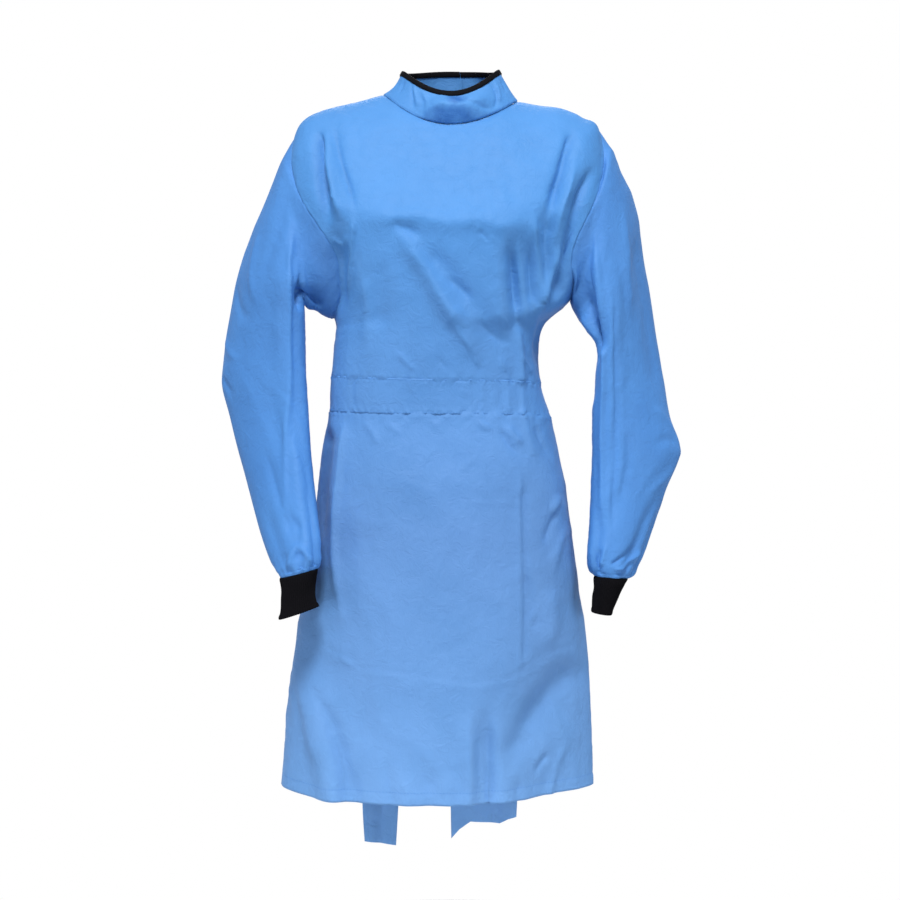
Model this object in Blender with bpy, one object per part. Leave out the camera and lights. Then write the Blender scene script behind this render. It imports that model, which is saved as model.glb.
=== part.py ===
"""A long-sleeved surgical gown, worn and tied at the back, as cloth walls at their real size.

The gown faces -Y, +X is on the right of someone who faces it, and +Z is up. The origin is the middle
of the neck seam, where the gown is held. Sizes are in millimetres.
"""

import math
from collections import namedtuple

import bmesh
import bpy
import numpy as np

MM = 0.001  # metres in a millimetre

# Cloth
WALL = 1.2  # wall that stands for one layer of cloth
SEAM_GAP = 0.3  # between pieces that a seam joins

# Centre back opening: the panel on +X laps over the other one
LAP_HALF_AT_NECK = 18.0
LAP_HALF_AT_HEM = 62.0
LAP_LIFT_AT_NECK = 5.2  # room for the collar binding and the fastening tapes
LAP_LIFT = 2.2
LIFT_STARTS, LIFT_ENDS = 125.0, 158.0  # turns between which the upper panel rises

# Collar
BINDING_HEIGHT = 8.0
BINDING_WALL = 1.0
TAPE_SHARE = 0.9  # of the lap's length, and of four sevenths of the collar's height
TAPE_THICKNESS = 1.1

# Belt, sewn down across the front and tied at the centre back
BELT_OFF_BODY = 0.3

# The body of the gown is a stack of rings. Each row gives a ring's points at the two sides, the
# centre front and the centre back, and how square it is: 2 is an ellipse. A dip over 2 makes the
# middle of the front and of the back narrower, like a rounded V.
RING_COLUMNS = "left_x left_z right_x right_z front_y front_z back_y back_z square dip"
Ring = namedtuple("Ring", RING_COLUMNS, defaults=[2.0])
BODY = [
    Ring(-94, 8, 95, -2, -64, -44, 50, 14, 2.0),  # neck seam
    Ring(-122, 0, 124, -8, -76, -66, 66, -6, 2.1),
    Ring(-166, -11, 157, -14, -89, -94, 80, -34, 2.2),
    Ring(-200, -25, 185, -26, -99, -120, 90, -62, 2.3),
    Ring(-215, -48, 206, -38, -109, -143, 97, -90, 2.35),  # shoulder tips
    Ring(-223, -88, 216, -80, -119, -163, 102, -120, 2.45),
    Ring(-222, -135, 214, -130, -126, -184, 105, -155, 2.6),  # widest ring
    Ring(-210, -185, 204, -180, -125, -215, 104, -195, 2.6),
    Ring(-190, -240, 188, -232, -121, -257, 101, -240, 2.5),
    Ring(-162, -305, 167, -279, -116, -306, 96, -300, 2.4),  # underarms
    Ring(-160, -328, 132, -313, -112, -331, 93, -328, 2.4),
    Ring(-162, -352, 124, -350, -109, -359, 89, -356, 2.4),
    Ring(-164, -385, 125, -395, -104, -393, 84, -390, 2.4),  # top of the belt
    Ring(-166, -410, 131, -419, -103, -417, 83, -414, 2.4),
    Ring(-167, -435, 138, -443, -104, -441, 85, -438, 2.4),  # bottom of the belt
    Ring(-177, -476, 148, -478, -111, -478, 98, -476, 2.4),
    Ring(-184, -530, 158, -530, -121, -530, 115, -530, 2.35),
    Ring(-191, -600, 167, -600, -129, -600, 127, -600, 2.3),
    Ring(-203, -680, 179, -680, -135, -680, 134, -680, 2.2),
    Ring(-215, -755, 191, -755, -140, -755, 139, -755, 2.1),
    Ring(-225, -825, 196, -825, -144, -825, 143, -825, 2.0),
    Ring(-231, -893, 199, -893, -147, -893, 147, -893, 1.95),
    Ring(-236, -955, 201, -955, -147, -958, 150, -955, 1.9),  # hem
]
NECK_SEAM, SHOULDER_TIP, UNDERARM, BELT_TOP, BELT_BOTTOM, HEM = 0, 4, 9, 12, 14, 22
BODY_PLACES = (
    [0, 0.5, 1, 1.5, 2, 3, 3.5]
    + [4, 4.12, 4.35, 4.7, 5.1, 5.5, 6, 6.5, 7, 7.5, 8, 8.4, 8.7, 8.9, 9]
    + [9.5, 10, 11, 12, 12.5, 13, 13.5, 14, 14.5, 15, 16, 17, 18, 19, 20, 21, 22]
)

FRONT_COLUMNS, BACK_COLUMNS = 22, 13

# Armholes: how far each bites into the front and the back, in degrees, and its shape down its length
FRONT_BITE, BACK_BITE = {-1: 42.0, 1: 36.0}, 28.0
ARMHOLE_LOW, ARMHOLE_FULL = 1.7, 0.6

# Large folds. A path runs over the panel as (x, z) points, height is outwards, and the two fades are
# the shares of the path over which the fold rises and dies away.
Fold = namedtuple("Fold", "path width height fade_in fade_out")
FRONT_FOLDS = [
    Fold([(-158, -58), (-143, -120), (-134, -178), (-146, -276)], 13, 6.0, 0.3, 0.3),
    Fold([(-182, -72), (-173, -115), (-168, -150), (-160, -196)], 9, -6.0, 0.3, 0.3),
    Fold([(168, -66), (148, -130), (128, -170), (122, -240)], 10, -6.0, 0.3, 0.3),
    Fold([(202, -92), (178, -166), (148, -270)], 10, -7.5, 0.3, 0.25),
    Fold([(73, -206), (86, -258), (92, -310)], 9, -4.0, 0.3, 0.4),
    Fold([(108, -212), (118, -262), (118, -320)], 8, -4.5, 0.3, 0.4),
    Fold([(-76, -186), (-20, -268), (42, -372)], 14, 3.5, 0.25, 0.2),
    Fold([(-46, -202), (0, -262), (42, -318), (82, -366)], 13, -4.0, 0.25, 0.25),
    Fold([(-206, -760), (-165, -835), (-146, -960)], 23, 17.0, 0.5, 0.0),
    Fold([(-190, -800), (-152, -860), (-130, -960)], 12, -5.0, 0.5, 0.0),
    Fold([(50, -800), (52, -880), (52, -960)], 11, -8.0, 0.5, 0.0),
    Fold([(26, -790), (24, -880), (22, -960)], 12, 4.0, 0.5, 0.0),
    Fold([(150, -640), (146, -960)], 50, -24.0, 0.8, 0.0),
    Fold([(150, -760), (106, -850), (72, -950)], 17, 6.0, 0.4, 0.3),
    Fold([(112, -770), (86, -840), (68, -890)], 12, -4.0, 0.4, 0.3),
]
BACK_FOLDS = [
    Fold([(-168, -80), (-150, -150), (-146, -260)], 12, -6.0, 0.3, 0.3),
    Fold([(168, -74), (148, -150), (146, -260)], 12, -6.0, 0.3, 0.3),
    Fold([(-100, -250), (-92, -320), (-88, -384)], 12, 4.0, 0.3, 0.2),
    Fold([(62, -240), (58, -320), (54, -384)], 12, 4.0, 0.3, 0.2),
    Fold([(-110, -446), (-128, -640), (-140, -960)], 18, 8.0, 0.2, 0.0),
    Fold([(82, -446), (104, -640), (122, -960)], 18, 8.0, 0.2, 0.0),
    Fold([(-150, -470), (-176, -700), (-184, -960)], 13, -7.0, 0.2, 0.0),
    Fold([(120, -470), (146, -700), (158, -960)], 13, -7.0, 0.2, 0.0),
]

# Each sleeve is a tube of sections. A row gives the section's outermost and innermost points seen
# from the front, the middle and half of its depth, and how far its front ridge leans inwards.
Section = namedtuple("Section", "outer_x outer_z inner_x inner_z middle_y depth lean")
LEFT_SLEEVE = [
    Section(-235, -83, -174, -303, 2, 68, 8),
    Section(-256, -129, -189, -292, 4, 74, 18),
    Section(-279, -178, -199, -281, 6, 78, 30),
    Section(-302, -237, -201, -284, 8, 79, 38),
    Section(-314, -293, -201, -306, 9, 76, 42),
    Section(-323, -348, -200, -348, 8, 70, 44),
    Section(-325, -397, -197, -397, 4, 66, 44),
    Section(-311, -446, -194, -446, -4, 62, 42),
    Section(-289, -513, -189, -506, -26, 57, 38),
    Section(-264, -590, -179, -570, -58, 50, 32),
    Section(-246, -636, -174, -612, -84, 43, 26),
    Section(-234, -652, -176, -638, -96, 35, 20),
]
RIGHT_SLEEVE = [
    Section(228, -69, 171, -290, 2, 68, 8),
    Section(243, -99, 179, -308, 4, 73, 18),
    Section(258, -127, 189, -325, 6, 76, 28),
    Section(268, -160, 200, -344, 8, 77, 34),
    Section(275, -209, 203, -363, 9, 76, 38),
    Section(286, -267, 201, -384, 10, 72, 42),
    Section(295, -328, 200, -412, 10, 68, 44),
    Section(304, -384, 198, -434, 9, 64, 44),
    Section(313, -440, 197, -466, 6, 60, 42),
    Section(327, -491, 196, -512, 2, 57, 40),
    Section(303, -551, 193, -558, -10, 54, 36),
    Section(286, -595, 190, -599, -24, 50, 32),
    Section(268, -637, 187, -633, -36, 44, 28),
    Section(254, -656, 192, -652, -42, 36, 20),
]
# Folds of a sleeve run along it: section numbers, turns round it (0 outside, 90 front, 180 inside,
# 270 back), the width in degrees and the height outwards.
SleeveFold = namedtuple("SleeveFold", "start end turn_start turn_end width height")
LEFT_SLEEVE_FOLDS = [
    SleeveFold(0.3, 4.6, 146, 158, 15, -13.0),
    SleeveFold(1.0, 10.4, 118, 126, 14, 5.0),
    SleeveFold(8.6, 12.9, 100, 104, 13, -5.0),
    SleeveFold(9.4, 12.9, 60, 62, 12, -3.5),
    SleeveFold(8.8, 12.9, 145, 150, 12, -4.0),
    SleeveFold(0.6, 5.0, 214, 205, 16, -10.0),
    SleeveFold(9.0, 12.9, 232, 230, 14, -4.5),
    SleeveFold(9.0, 12.9, 290, 292, 14, -4.5),
    SleeveFold(5.2, 8.6, 330, 320, 16, -4.0),
]
RIGHT_SLEEVE_FOLDS = [
    SleeveFold(0.3, 5.2, 140, 150, 15, -13.0),
    SleeveFold(1.0, 12.2, 116, 124, 14, 5.0),
    SleeveFold(11.0, 14.9, 140, 136, 14, -5.0),
    SleeveFold(10.8, 14.9, 42, 76, 13, -5.0),
    SleeveFold(11.2, 14.9, 20, 26, 12, -3.5),
    SleeveFold(0.6, 5.4, 214, 205, 16, -10.0),
    SleeveFold(11.0, 14.9, 232, 230, 14, -4.5),
    SleeveFold(11.0, 14.9, 290, 292, 14, -4.5),
    SleeveFold(3.6, 8.4, 50, 44, 16, -4.0),
]
SLEEVE_STEPS = 1.5  # rows of the wall for each section

# Knit cuffs, from the sleeve seam to the open end
LEFT_CUFF = [
    Section(-230, -661, -177, -647, -100, 31, 15),
    Section(-226, -690, -181, -678, -106, 27, 15),
    Section(-229, -716, -175, -697, -112, 28, 15),
]
RIGHT_CUFF = [
    Section(246, -665, 197, -661, -45, 31, 15),
    Section(232, -690, 196, -686, -49, 28, 15),
    Section(221, -715, 194, -710, -53, 27, 15),
]
CUFF_ROWS = 4

# Collar rings above the neck seam, in the same form as the body's
COLLAR = [
    BODY[NECK_SEAM],
    Ring(-78, 20, 83, 15, -61, -20, 49, 32, 2.0, 2.2),
    Ring(-66, 41, 68, 43, -57, 3, 47, 51, 2.0, 2.0),
]
COLLAR_ROWS = 7
COLLAR_COLUMNS = 36

# Free ends of the belt, down the back from the knot: height, middle, half width and distance off
# the skirt, with the depth of the fold down the strip
Strip = namedtuple("Strip", "z middle_x half off fold")
LEFT_END = [
    Strip(-435.6, -28, 8, 9, 0),
    Strip(-455, -34, 13, 7, 3),
    Strip(-500, -46, 21, 5, 4),
    Strip(-600, -63, 26, 4, 3),
    Strip(-750, -84, 28, 4, 2),
    Strip(-900, -99, 28, 4, 2),
    Strip(-960, -102, 28, 4, 3),
    Strip(-1020, -103, 26, 2, 4),
    Strip(-1070, -103, 23, 0, 4),
]
RIGHT_END = [
    Strip(-435.2, -6, 8, 9, 0),
    Strip(-455, -2, 14, 7, 3),
    Strip(-500, 8, 23, 5, 5),
    Strip(-600, 20, 32, 4, 6),
    Strip(-750, 36, 42, 4, 6),
    Strip(-900, 47, 48, 4, 7),
    Strip(-960, 49, 49, 4, 8),
    Strip(-1010, 50, 49, 5, 10),
    Strip(-1050, 50, 48, 6, 12),
]
LEFT_END_SLANT, RIGHT_END_SLANT = -4.0, 14.0  # half the difference in height across a cut end
STRIP_COLUMNS = 5

KNOT_SIZE = (24.0, 13.0, 19.0)  # half width, half depth and half height
KNOT_MIDDLE = (-18.0, 100.4, -416.0)

BLUE, BLACK = (0.10, 0.29, 0.72, 1), (0.006, 0.006, 0.008, 1)
CLOTH_ROUGHNESS, TAPE_ROUGHNESS, KNIT_ROUGHNESS = 0.5, 0.8, 0.95


def read_rows(rows, places):
    """The rows of a table, read between them along Catmull-Rom curves."""
    table = np.array(rows, float)
    last = len(table) - 1
    places = np.clip(np.asarray(places, float), 0, last)
    first = np.minimum(places.astype(int), last - 1)
    part = (places - first).reshape(places.shape + (1,) * (table.ndim - 1))
    before, start = table[np.maximum(first - 1, 0)], table[first]
    end, after = table[first + 1], table[np.minimum(first + 2, last)]
    slope = (end - before) * part
    bend = (2 * before - 5 * start + 4 * end - after) * part**2
    twist = (3 * start - 3 * end + after - before) * part**3
    return start + 0.5 * (slope + bend + twist)


def ease(share):
    """Rises smoothly from 0 to 1."""
    share = np.clip(share, 0, 1)
    return share * share * (3 - 2 * share)


def unit(vectors):
    return vectors / np.maximum(np.linalg.norm(vectors, axis=-1, keepdims=True), 1e-9)


def ring_points(rings, places, turns):
    """Points on a stack of rings. A turn is in degrees from the centre front, towards +X."""
    columns = dict(zip(Ring._fields, np.moveaxis(read_rows(rings, places), -1, 0)))
    across, ahead = np.sin(np.radians(turns)), np.cos(np.radians(turns))
    square = columns["square"]
    reach = (np.abs(across) ** square + np.abs(ahead) ** square) ** (-1 / square)
    middle = (columns["left_x"] + columns["right_x"]) / 2
    half = (columns["right_x"] - columns["left_x"]) / 2
    side_z = np.where(across > 0, columns["right_z"], columns["left_z"])
    end_y = np.where(ahead > 0, columns["front_y"], columns["back_y"])
    end_z = np.where(ahead > 0, columns["front_z"], columns["back_z"])
    x = middle + half * reach * across
    y = end_y * reach * np.abs(ahead)
    z = side_z + (end_z - side_z) * np.abs(ahead) ** columns["dip"]
    return np.stack([x, y, z], axis=-1)


def fold_height(fold, x, z):
    """How far a fold lifts the cloth at each point of a panel seen from the front or the back."""
    path = np.array(fold.path, float)
    lengths = np.linalg.norm(np.diff(path, axis=0), axis=1)
    starts = np.concatenate([[0], np.cumsum(lengths)])
    nearest = np.full(np.shape(x), np.inf)
    along = np.zeros(np.shape(x))
    for start, end, length, before in zip(path[:-1], path[1:], lengths, starts[:-1]):
        step = (end - start) / length
        share = np.clip((x - start[0]) * step[0] + (z - start[1]) * step[1], 0, length)
        off = np.hypot(x - start[0] - share * step[0], z - start[1] - share * step[1])
        along = np.where(off < nearest, (before + share) / starts[-1], along)
        nearest = np.minimum(nearest, off)
    rise = ease(along / fold.fade_in) if fold.fade_in else 1
    fall = ease((1 - along) / fold.fade_out) if fold.fade_out else 1
    return fold.height * np.exp(-((nearest / fold.width) ** 2)) * rise * fall


def body_points(places, turns):
    """The gown's outer surface, folds included, with no lap at the back."""
    places, turns = np.broadcast_arrays(np.asarray(places, float), np.asarray(turns, float))
    points = ring_points(BODY, places, turns)
    step = 1.0
    sideways = ring_points(BODY, places, turns + step) - ring_points(BODY, places, turns - step)
    out = unit(np.stack([sideways[..., 1], -sideways[..., 0], 0 * places], axis=-1))
    facing = np.abs(np.cos(np.radians(turns)))
    height = 0 * places
    for folds, side in ((FRONT_FOLDS, -1), (BACK_FOLDS, 1)):
        near = ease((side * np.sign(-np.cos(np.radians(turns))) * facing + 0.02) / 0.3)
        for fold in folds:
            height = height + near * fold_height(fold, points[..., 0], points[..., 2])
    return points + out * height[..., None]


def normals_of(surface, places, turns):
    """Outward normals of a surface that is a function of place and turn."""
    down = surface(places + 0.04, turns) - surface(places - 0.04, turns)
    round_it = surface(places, turns + 0.6) - surface(places, turns - 0.6)
    return unit(np.cross(round_it, down)) * -1


def lap_half(places):
    """Half the width of the lap at the centre back."""
    share = np.clip(np.asarray(places, float) / HEM, 0, 1)
    return LAP_HALF_AT_NECK + (LAP_HALF_AT_HEM - LAP_HALF_AT_NECK) * share


def lap_turn(places):
    """How far past the centre back each panel reaches, in degrees."""
    rows = read_rows(BODY, places)
    half = (rows[..., 2] - rows[..., 0]) / 2
    return np.degrees(np.arctan(lap_half(places) / half))


def lap_lift(places, turns):
    """How far the upper back panel stands off the lower one."""
    most = LAP_LIFT + (LAP_LIFT_AT_NECK - LAP_LIFT) * (1 - ease(np.asarray(places, float) / 3))
    return most * ease((turns - LIFT_STARTS) / (LIFT_ENDS - LIFT_STARTS))


def armhole_share(places):
    """How fully the armhole is open at a place, from 0 at its two ends to 1."""
    share = np.clip((np.asarray(places, float) - SHOULDER_TIP) / (UNDERARM - SHOULDER_TIP), 0, 1)
    return np.clip(np.sin(math.pi * share**ARMHOLE_LOW), 0, 1) ** ARMHOLE_FULL


def colour_object(obj, name, colour, roughness):
    material = bpy.data.materials.get(name) or bpy.data.materials.new(name)
    material.use_nodes = True
    shader = material.node_tree.nodes["Principled BSDF"]
    shader.inputs["Base Color"].default_value = colour
    shader.inputs["Roughness"].default_value = roughness
    shader.inputs["Metallic"].default_value = 0.0
    obj.data.materials.append(material)


def grid_faces(rows, columns, closed, offset, flip):
    """Quads of a grid of points."""
    quads = []
    spans = columns if closed else columns - 1
    for row in range(rows - 1):
        for column in range(spans):
            after = (column + 1) % columns
            corners = [row * columns + column, row * columns + after]
            corners += [(row + 1) * columns + after, (row + 1) * columns + column]
            quads.append([corner + offset for corner in (corners[::-1] if flip else corners)])
    return quads


def build_wall(name, outer, inner, closed, material):
    """One closed solid between an outer and an inner grid of points, in millimetres."""
    rows, columns = outer.shape[:2]
    count = rows * columns
    faces = grid_faces(rows, columns, closed, 0, False)
    faces += grid_faces(rows, columns, closed, count, True)
    top = list(range(columns))
    bottom = [count - columns + column for column in range(columns)]
    if closed:
        loops = [top + top[:1], (bottom + bottom[:1])[::-1]]
    else:
        right = [row * columns + columns - 1 for row in range(rows)]
        left = [row * columns for row in range(rows)]
        loops = [top, right, bottom[::-1], left[::-1]]
    for loop in loops:
        for first, second in zip(loop[:-1], loop[1:]):
            faces.append([second, first, first + count, second + count])
    points = np.concatenate([outer.reshape(-1, 3), inner.reshape(-1, 3)]) * MM
    mesh = bpy.data.meshes.new(name)
    mesh.from_pydata([tuple(point) for point in points], [], faces)
    corners = [points[face] for face in faces]
    volume = sum(np.dot(c[0], np.cross(c[1], c[2]) + np.cross(c[2], c[3])) for c in corners)
    if volume < 0:
        mesh.flip_normals()
    mesh.shade_smooth()
    mesh.set_sharp_from_angle(angle=math.radians(50))
    obj = bpy.data.objects.new(name, mesh)
    GOWN.objects.link(obj)
    colour_object(obj, *material)
    return obj


def edge_pull(points, normals, closed):
    """Moves the edges of a grid into its own surface by half the seam gap. Returns the moves."""
    moves = np.zeros_like(points)
    rows, columns = points.shape[:2]
    if closed:
        for row, neighbour in ((0, 1), (rows - 1, rows - 2)):
            along = unit(np.roll(points[row], -1, axis=0) - np.roll(points[row], 1, axis=0))
            into = points[neighbour] - points[row]
            into -= along * np.sum(into * along, axis=-1, keepdims=True)
            moves[row] = unit(into) * SEAM_GAP / 2
        return moves
    loop = [(0, column) for column in range(columns)]
    loop += [(row, columns - 1) for row in range(1, rows)]
    loop += [(rows - 1, column) for column in range(columns - 2, -1, -1)]
    loop += [(row, 0) for row in range(rows - 2, 0, -1)]
    for index, (row, column) in enumerate(loop):
        after, before = loop[(index + 1) % len(loop)], loop[index - 1]
        along = unit(points[after] - points[before])
        into = unit(np.cross(normals[row, column], along))
        inside = points[min(max(row, 1), rows - 2), min(max(column, 1), columns - 2)]
        if np.dot(into, inside - points[row, column]) < 0:
            into = -into
        moves[row, column] = into * SEAM_GAP / 2
    return moves


def cloth_wall(name, points, normals, closed, material, standoff=0.0, wall=WALL):
    """A piece of cloth whose outer face is the grid, or stands off it, as a wall of its own."""
    moves = edge_pull(points, normals, closed)
    outer = points + normals * standoff + moves
    return build_wall(name, outer, outer - normals * wall, closed, material)


def sleeve_ring(section, turns):
    """Points of one section, at turns from its outermost point over its front."""
    turn = np.radians(turns)
    middle_x, middle_z = (section.outer_x + section.inner_x) / 2, (section.outer_z + section.inner_z) / 2
    half_x, half_z = (section.outer_x - section.inner_x) / 2, (section.outer_z - section.inner_z) / 2
    x = middle_x + half_x * np.cos(turn)
    y = section.middle_y - section.depth * np.sin(turn - math.radians(section.lean))
    z = middle_z + half_z * np.cos(turn)
    return np.stack([x, y, z], axis=-1)


def armhole_edge(side):
    """The armhole seam as a ring of (place, turn) pairs, down the front and up the back."""
    places = np.array([place for place in BODY_PLACES if SHOULDER_TIP <= place <= UNDERARM])
    share = armhole_share(places)
    front, back = 90 - FRONT_BITE[side] * share, 90 + BACK_BITE * share
    ring_places = np.concatenate([places, places[-2:0:-1]])
    ring_turns = np.concatenate([front, back[-2:0:-1]])
    return ring_places, side * ring_turns


def ring_turns_by_length(points, turning):
    """Turns for a sleeve's sections, spaced as the points of its armhole are."""
    steps = np.linalg.norm(np.diff(np.concatenate([points, points[:1]]), axis=0), axis=1)
    front = np.concatenate([[0], np.cumsum(steps[:turning])])
    back = np.concatenate([[0], np.cumsum(steps[turning:])])
    turns = np.concatenate([180 * front / front[-1], 180 + 180 * back[1:-1] / back[-1]])
    return turns


def tube_normals(points):
    """Outward normals of a tube of rings."""
    along = np.gradient(points, axis=0)
    around = np.roll(points, -1, axis=1) - np.roll(points, 1, axis=1)
    normals = unit(np.cross(around, along))
    outward = points - points.mean(axis=1, keepdims=True)
    return normals * np.sign(np.sum(normals * outward))


def sleeve_fold_lift(folds, sections, turns):
    lift = 0 * sections
    for fold in folds:
        share = (sections - fold.start) / (fold.end - fold.start)
        turn = fold.turn_start + (fold.turn_end - fold.turn_start) * np.clip(share, 0, 1)
        off = (turns - turn + 180) % 360 - 180
        fade = ease(share / 0.25) * ease((1 - share) / 0.15)
        lift = lift + fold.height * np.exp(-((off / fold.width) ** 2)) * fade
    return lift


def sleeve_and_cuff(side, sleeve, cuff, folds):
    """Points and normals of a sleeve, from its armhole to its cuff seam, and then of the cuff."""
    places, turns = armhole_edge(side)
    armhole = body_points(places, turns)
    round_it = ring_turns_by_length(armhole, len(places) // 2)
    rings = np.array([armhole] + [sleeve_ring(section, round_it) for section in sleeve + cuff])
    seam = len(sleeve) + 1
    sleeve_rows = np.linspace(0, seam, round(seam * SLEEVE_STEPS) + 1)
    cuff_rows = np.linspace(seam, seam + len(cuff) - 1, CUFF_ROWS)
    rows = np.concatenate([sleeve_rows, cuff_rows[1:]])
    points = read_rows(rings, rows)
    lift = sleeve_fold_lift(folds, *np.meshgrid(rows, round_it, indexing="ij"))
    points = points + tube_normals(points) * lift[..., None]
    normals = tube_normals(points)
    normals[0] = unit(normals[0] + normals_of(body_points, places, turns))
    split = len(sleeve_rows)
    return (points[:split], normals[:split]), (points[split - 1 :], normals[split - 1 :])


def seam_normals(places, turns, normals, side):
    """Gives a panel's armhole edge the normals that it shares with the sleeve."""
    sleeve_normals = SLEEVES[side][1]
    seam_places, seam_turns = armhole_edge(side)
    shared = normals.copy()
    for place, turn, normal in zip(seam_places, seam_turns, sleeve_normals[0]):
        same = np.isclose(places, place) & np.isclose(turns, turn)
        shared[same] = normal
    return shared


def front_panel():
    places, shares = np.meshgrid(BODY_PLACES, np.linspace(-1, 1, FRONT_COLUMNS + 1), indexing="ij")
    bite = np.where(shares < 0, FRONT_BITE[-1], FRONT_BITE[1])
    turns = shares * (90 - bite * armhole_share(places))
    points = body_points(places, turns)
    normals = normals_of(body_points, places, turns)
    for side in (-1, 1):
        normals = seam_normals(places, turns, normals, side)
    return cloth_wall("front_panel", points, normals, False, CLOTH)


def back_turns(side, places, shares):
    """Turns across half of the back, from its side seam to its edge at the lap."""
    start = 90 + BACK_BITE * armhole_share(places)
    return side * (start + (180 + lap_turn(places) - start) * shares)


def neck_lift(places, normals, turns):
    """Turns a normal near the neck seam to the way that panel and collar can both move."""
    at_seam = np.zeros(np.shape(turns))
    panel = normals_of(body_points, at_seam, turns)
    stand = -normals_of(collar_shape, at_seam, turns)
    shared = (panel + stand) / (1 + np.sum(panel * stand, axis=-1, keepdims=True))
    share = ease(places)[..., None]
    return shared + (normals - shared) * share


def lapped_points(places, turns):
    """The upper back panel's outer face."""
    places = np.clip(places, 0, HEM)
    way = neck_lift(places, normals_of(body_points, places, turns), turns)
    return body_points(places, turns) + way * lap_lift(places, turns)[..., None]


def back_panel(side, name):
    """Half of the back. The one on +X is the upper one at the lap."""
    surface = lapped_points if side > 0 else body_points
    shares = np.linspace(0, 1, BACK_COLUMNS + 1)
    places, shares = np.meshgrid(BODY_PLACES, shares, indexing="ij")
    turns = back_turns(side, places, shares)
    points = surface(places, turns)
    normals = normals_of(surface, places, turns)
    normals = seam_normals(places, turns, normals, side)
    return cloth_wall(name, points, normals, False, CLOTH)


def collar_shape(places, turns):
    return ring_points(COLLAR, places, turns)


def collar_surface(places, turns):
    """The collar's outer face. Its end on +X laps over the other."""
    places = np.clip(places, 0, len(COLLAR) - 1)
    way = neck_lift(places, -normals_of(collar_shape, places, turns), turns)
    return collar_shape(places, turns) + way * lap_lift(0 * places, turns)[..., None]


def collar_turns():
    """From the end that lies under, round the front, to the end that lies over."""
    over = float(lap_turn(np.array(0.0)))
    return np.linspace(-180 - over, 180 + over, COLLAR_COLUMNS + 1)


def edge_below(turns, distance):
    """The place on the collar that lies this far below its top edge, at each turn."""
    steps = np.linspace(len(COLLAR) - 1, 0, 41)
    found = []
    for turn in turns:
        line = collar_surface(steps, np.full(steps.shape, turn))
        lengths = np.linalg.norm(np.diff(line, axis=0), axis=1)
        found.append(np.interp(distance, np.concatenate([[0], np.cumsum(lengths)]), steps))
    return np.array(found)


def collar_grid():
    """Rows from the neck seam to just under the binding's fold."""
    turns = collar_turns()
    top = edge_below(turns, BINDING_WALL + SEAM_GAP)
    places = np.linspace(0, 1, COLLAR_ROWS)[:, None] * top[None, :]
    return places, np.broadcast_to(turns, places.shape)


def collar():
    places, turns = collar_grid()
    points = collar_surface(places, turns)
    return cloth_wall("collar", points, -normals_of(collar_surface, places, turns), False, CLOTH)


def collar_binding():
    """A folded strip that wraps the collar's top edge, with one leg outside and one inside."""
    turns = collar_turns()
    places = np.full(turns.shape, len(COLLAR) - 1.0)
    top = collar_surface(places, turns)
    low = collar_surface(edge_below(turns, BINDING_HEIGHT), turns)
    down = unit(low - top)
    out = -normals_of(collar_surface, places, turns)
    reach = SEAM_GAP + BINDING_WALL
    inside = WALL + reach
    profile = [  # distances outwards from the collar's face, and down from its top edge
        (reach, BINDING_HEIGHT), (reach, 0.5), (reach - 0.8, 0.0), (0.8 - inside, 0.0), (-inside, 0.5),
        (-inside, BINDING_HEIGHT), (-inside + BINDING_WALL, BINDING_HEIGHT),
        (-inside + BINDING_WALL, BINDING_WALL), (SEAM_GAP, BINDING_WALL), (SEAM_GAP, BINDING_HEIGHT),
    ]
    rings = np.array([top + out * off + down * drop for off, drop in profile])
    count, columns = rings.shape[:2]
    faces = [
        [row * columns + column, row * columns + column + 1,
         (row + 1) % count * columns + column + 1, (row + 1) % count * columns + column]
        for row in range(count) for column in range(columns - 1)
    ]
    for column in (0, columns - 1):
        ends = [[0, 1, 8, 9], [1, 2, 7, 8], [2, 3, 7], [3, 6, 7], [3, 4, 6], [4, 5, 6]]
        for end in ends:
            corners = [row * columns + column for row in end]
            faces.append(corners[::-1] if column == 0 else corners)
    mesh = bpy.data.meshes.new("collar_binding")
    mesh.from_pydata([tuple(point) for point in rings.reshape(-1, 3) * MM], [], faces)
    obj = bpy.data.objects.new("collar_binding", mesh)
    GOWN.objects.link(obj)
    colour_object(obj, *TRIM)
    close_and_face_out(mesh)
    return obj


def close_and_face_out(mesh):
    """Turns every face outwards."""
    cage = bmesh.new()
    cage.from_mesh(mesh)
    bmesh.ops.recalc_face_normals(cage, faces=cage.faces)
    if cage.calc_volume(signed=True) < 0:
        bmesh.ops.reverse_faces(cage, faces=cage.faces)
    cage.to_mesh(mesh)
    cage.free()


def fastening_tape(name, under):
    """One half of the hook-and-loop fastening, on the collar's end that lies under or over."""
    end = slice(0, 3) if under else slice(-3, None)
    places, turns = (table[1:5, end] for table in collar_grid())
    points = collar_surface(places, turns)
    normals = -normals_of(collar_surface, places, turns)
    middle = points.mean(axis=(0, 1))
    points = middle + (points - middle) * TAPE_SHARE
    standoff = SEAM_GAP + TAPE_THICKNESS if under else -WALL - SEAM_GAP
    return cloth_wall(name, points, normals, False, TRIM, standoff, TAPE_THICKNESS)


def belt_standoff(turns):
    """The belt's outer face, off the gown's, with room for the lap at the back."""
    rise = ease((np.abs(turns) - LIFT_STARTS) / (LIFT_ENDS - LIFT_STARTS))
    return BELT_OFF_BODY + WALL + (LAP_LIFT + 0.6) * rise


def belt_places(turns):
    """Rows of the belt, which narrows where it runs into the knot."""
    narrow = 1 - 0.55 * ease((np.abs(turns) - 145) / 27)
    middle = (BELT_TOP + BELT_BOTTOM) / 2
    return middle + np.linspace(-1, 1, 5)[:, None] * narrow * (BELT_BOTTOM - BELT_TOP) / 2


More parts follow.
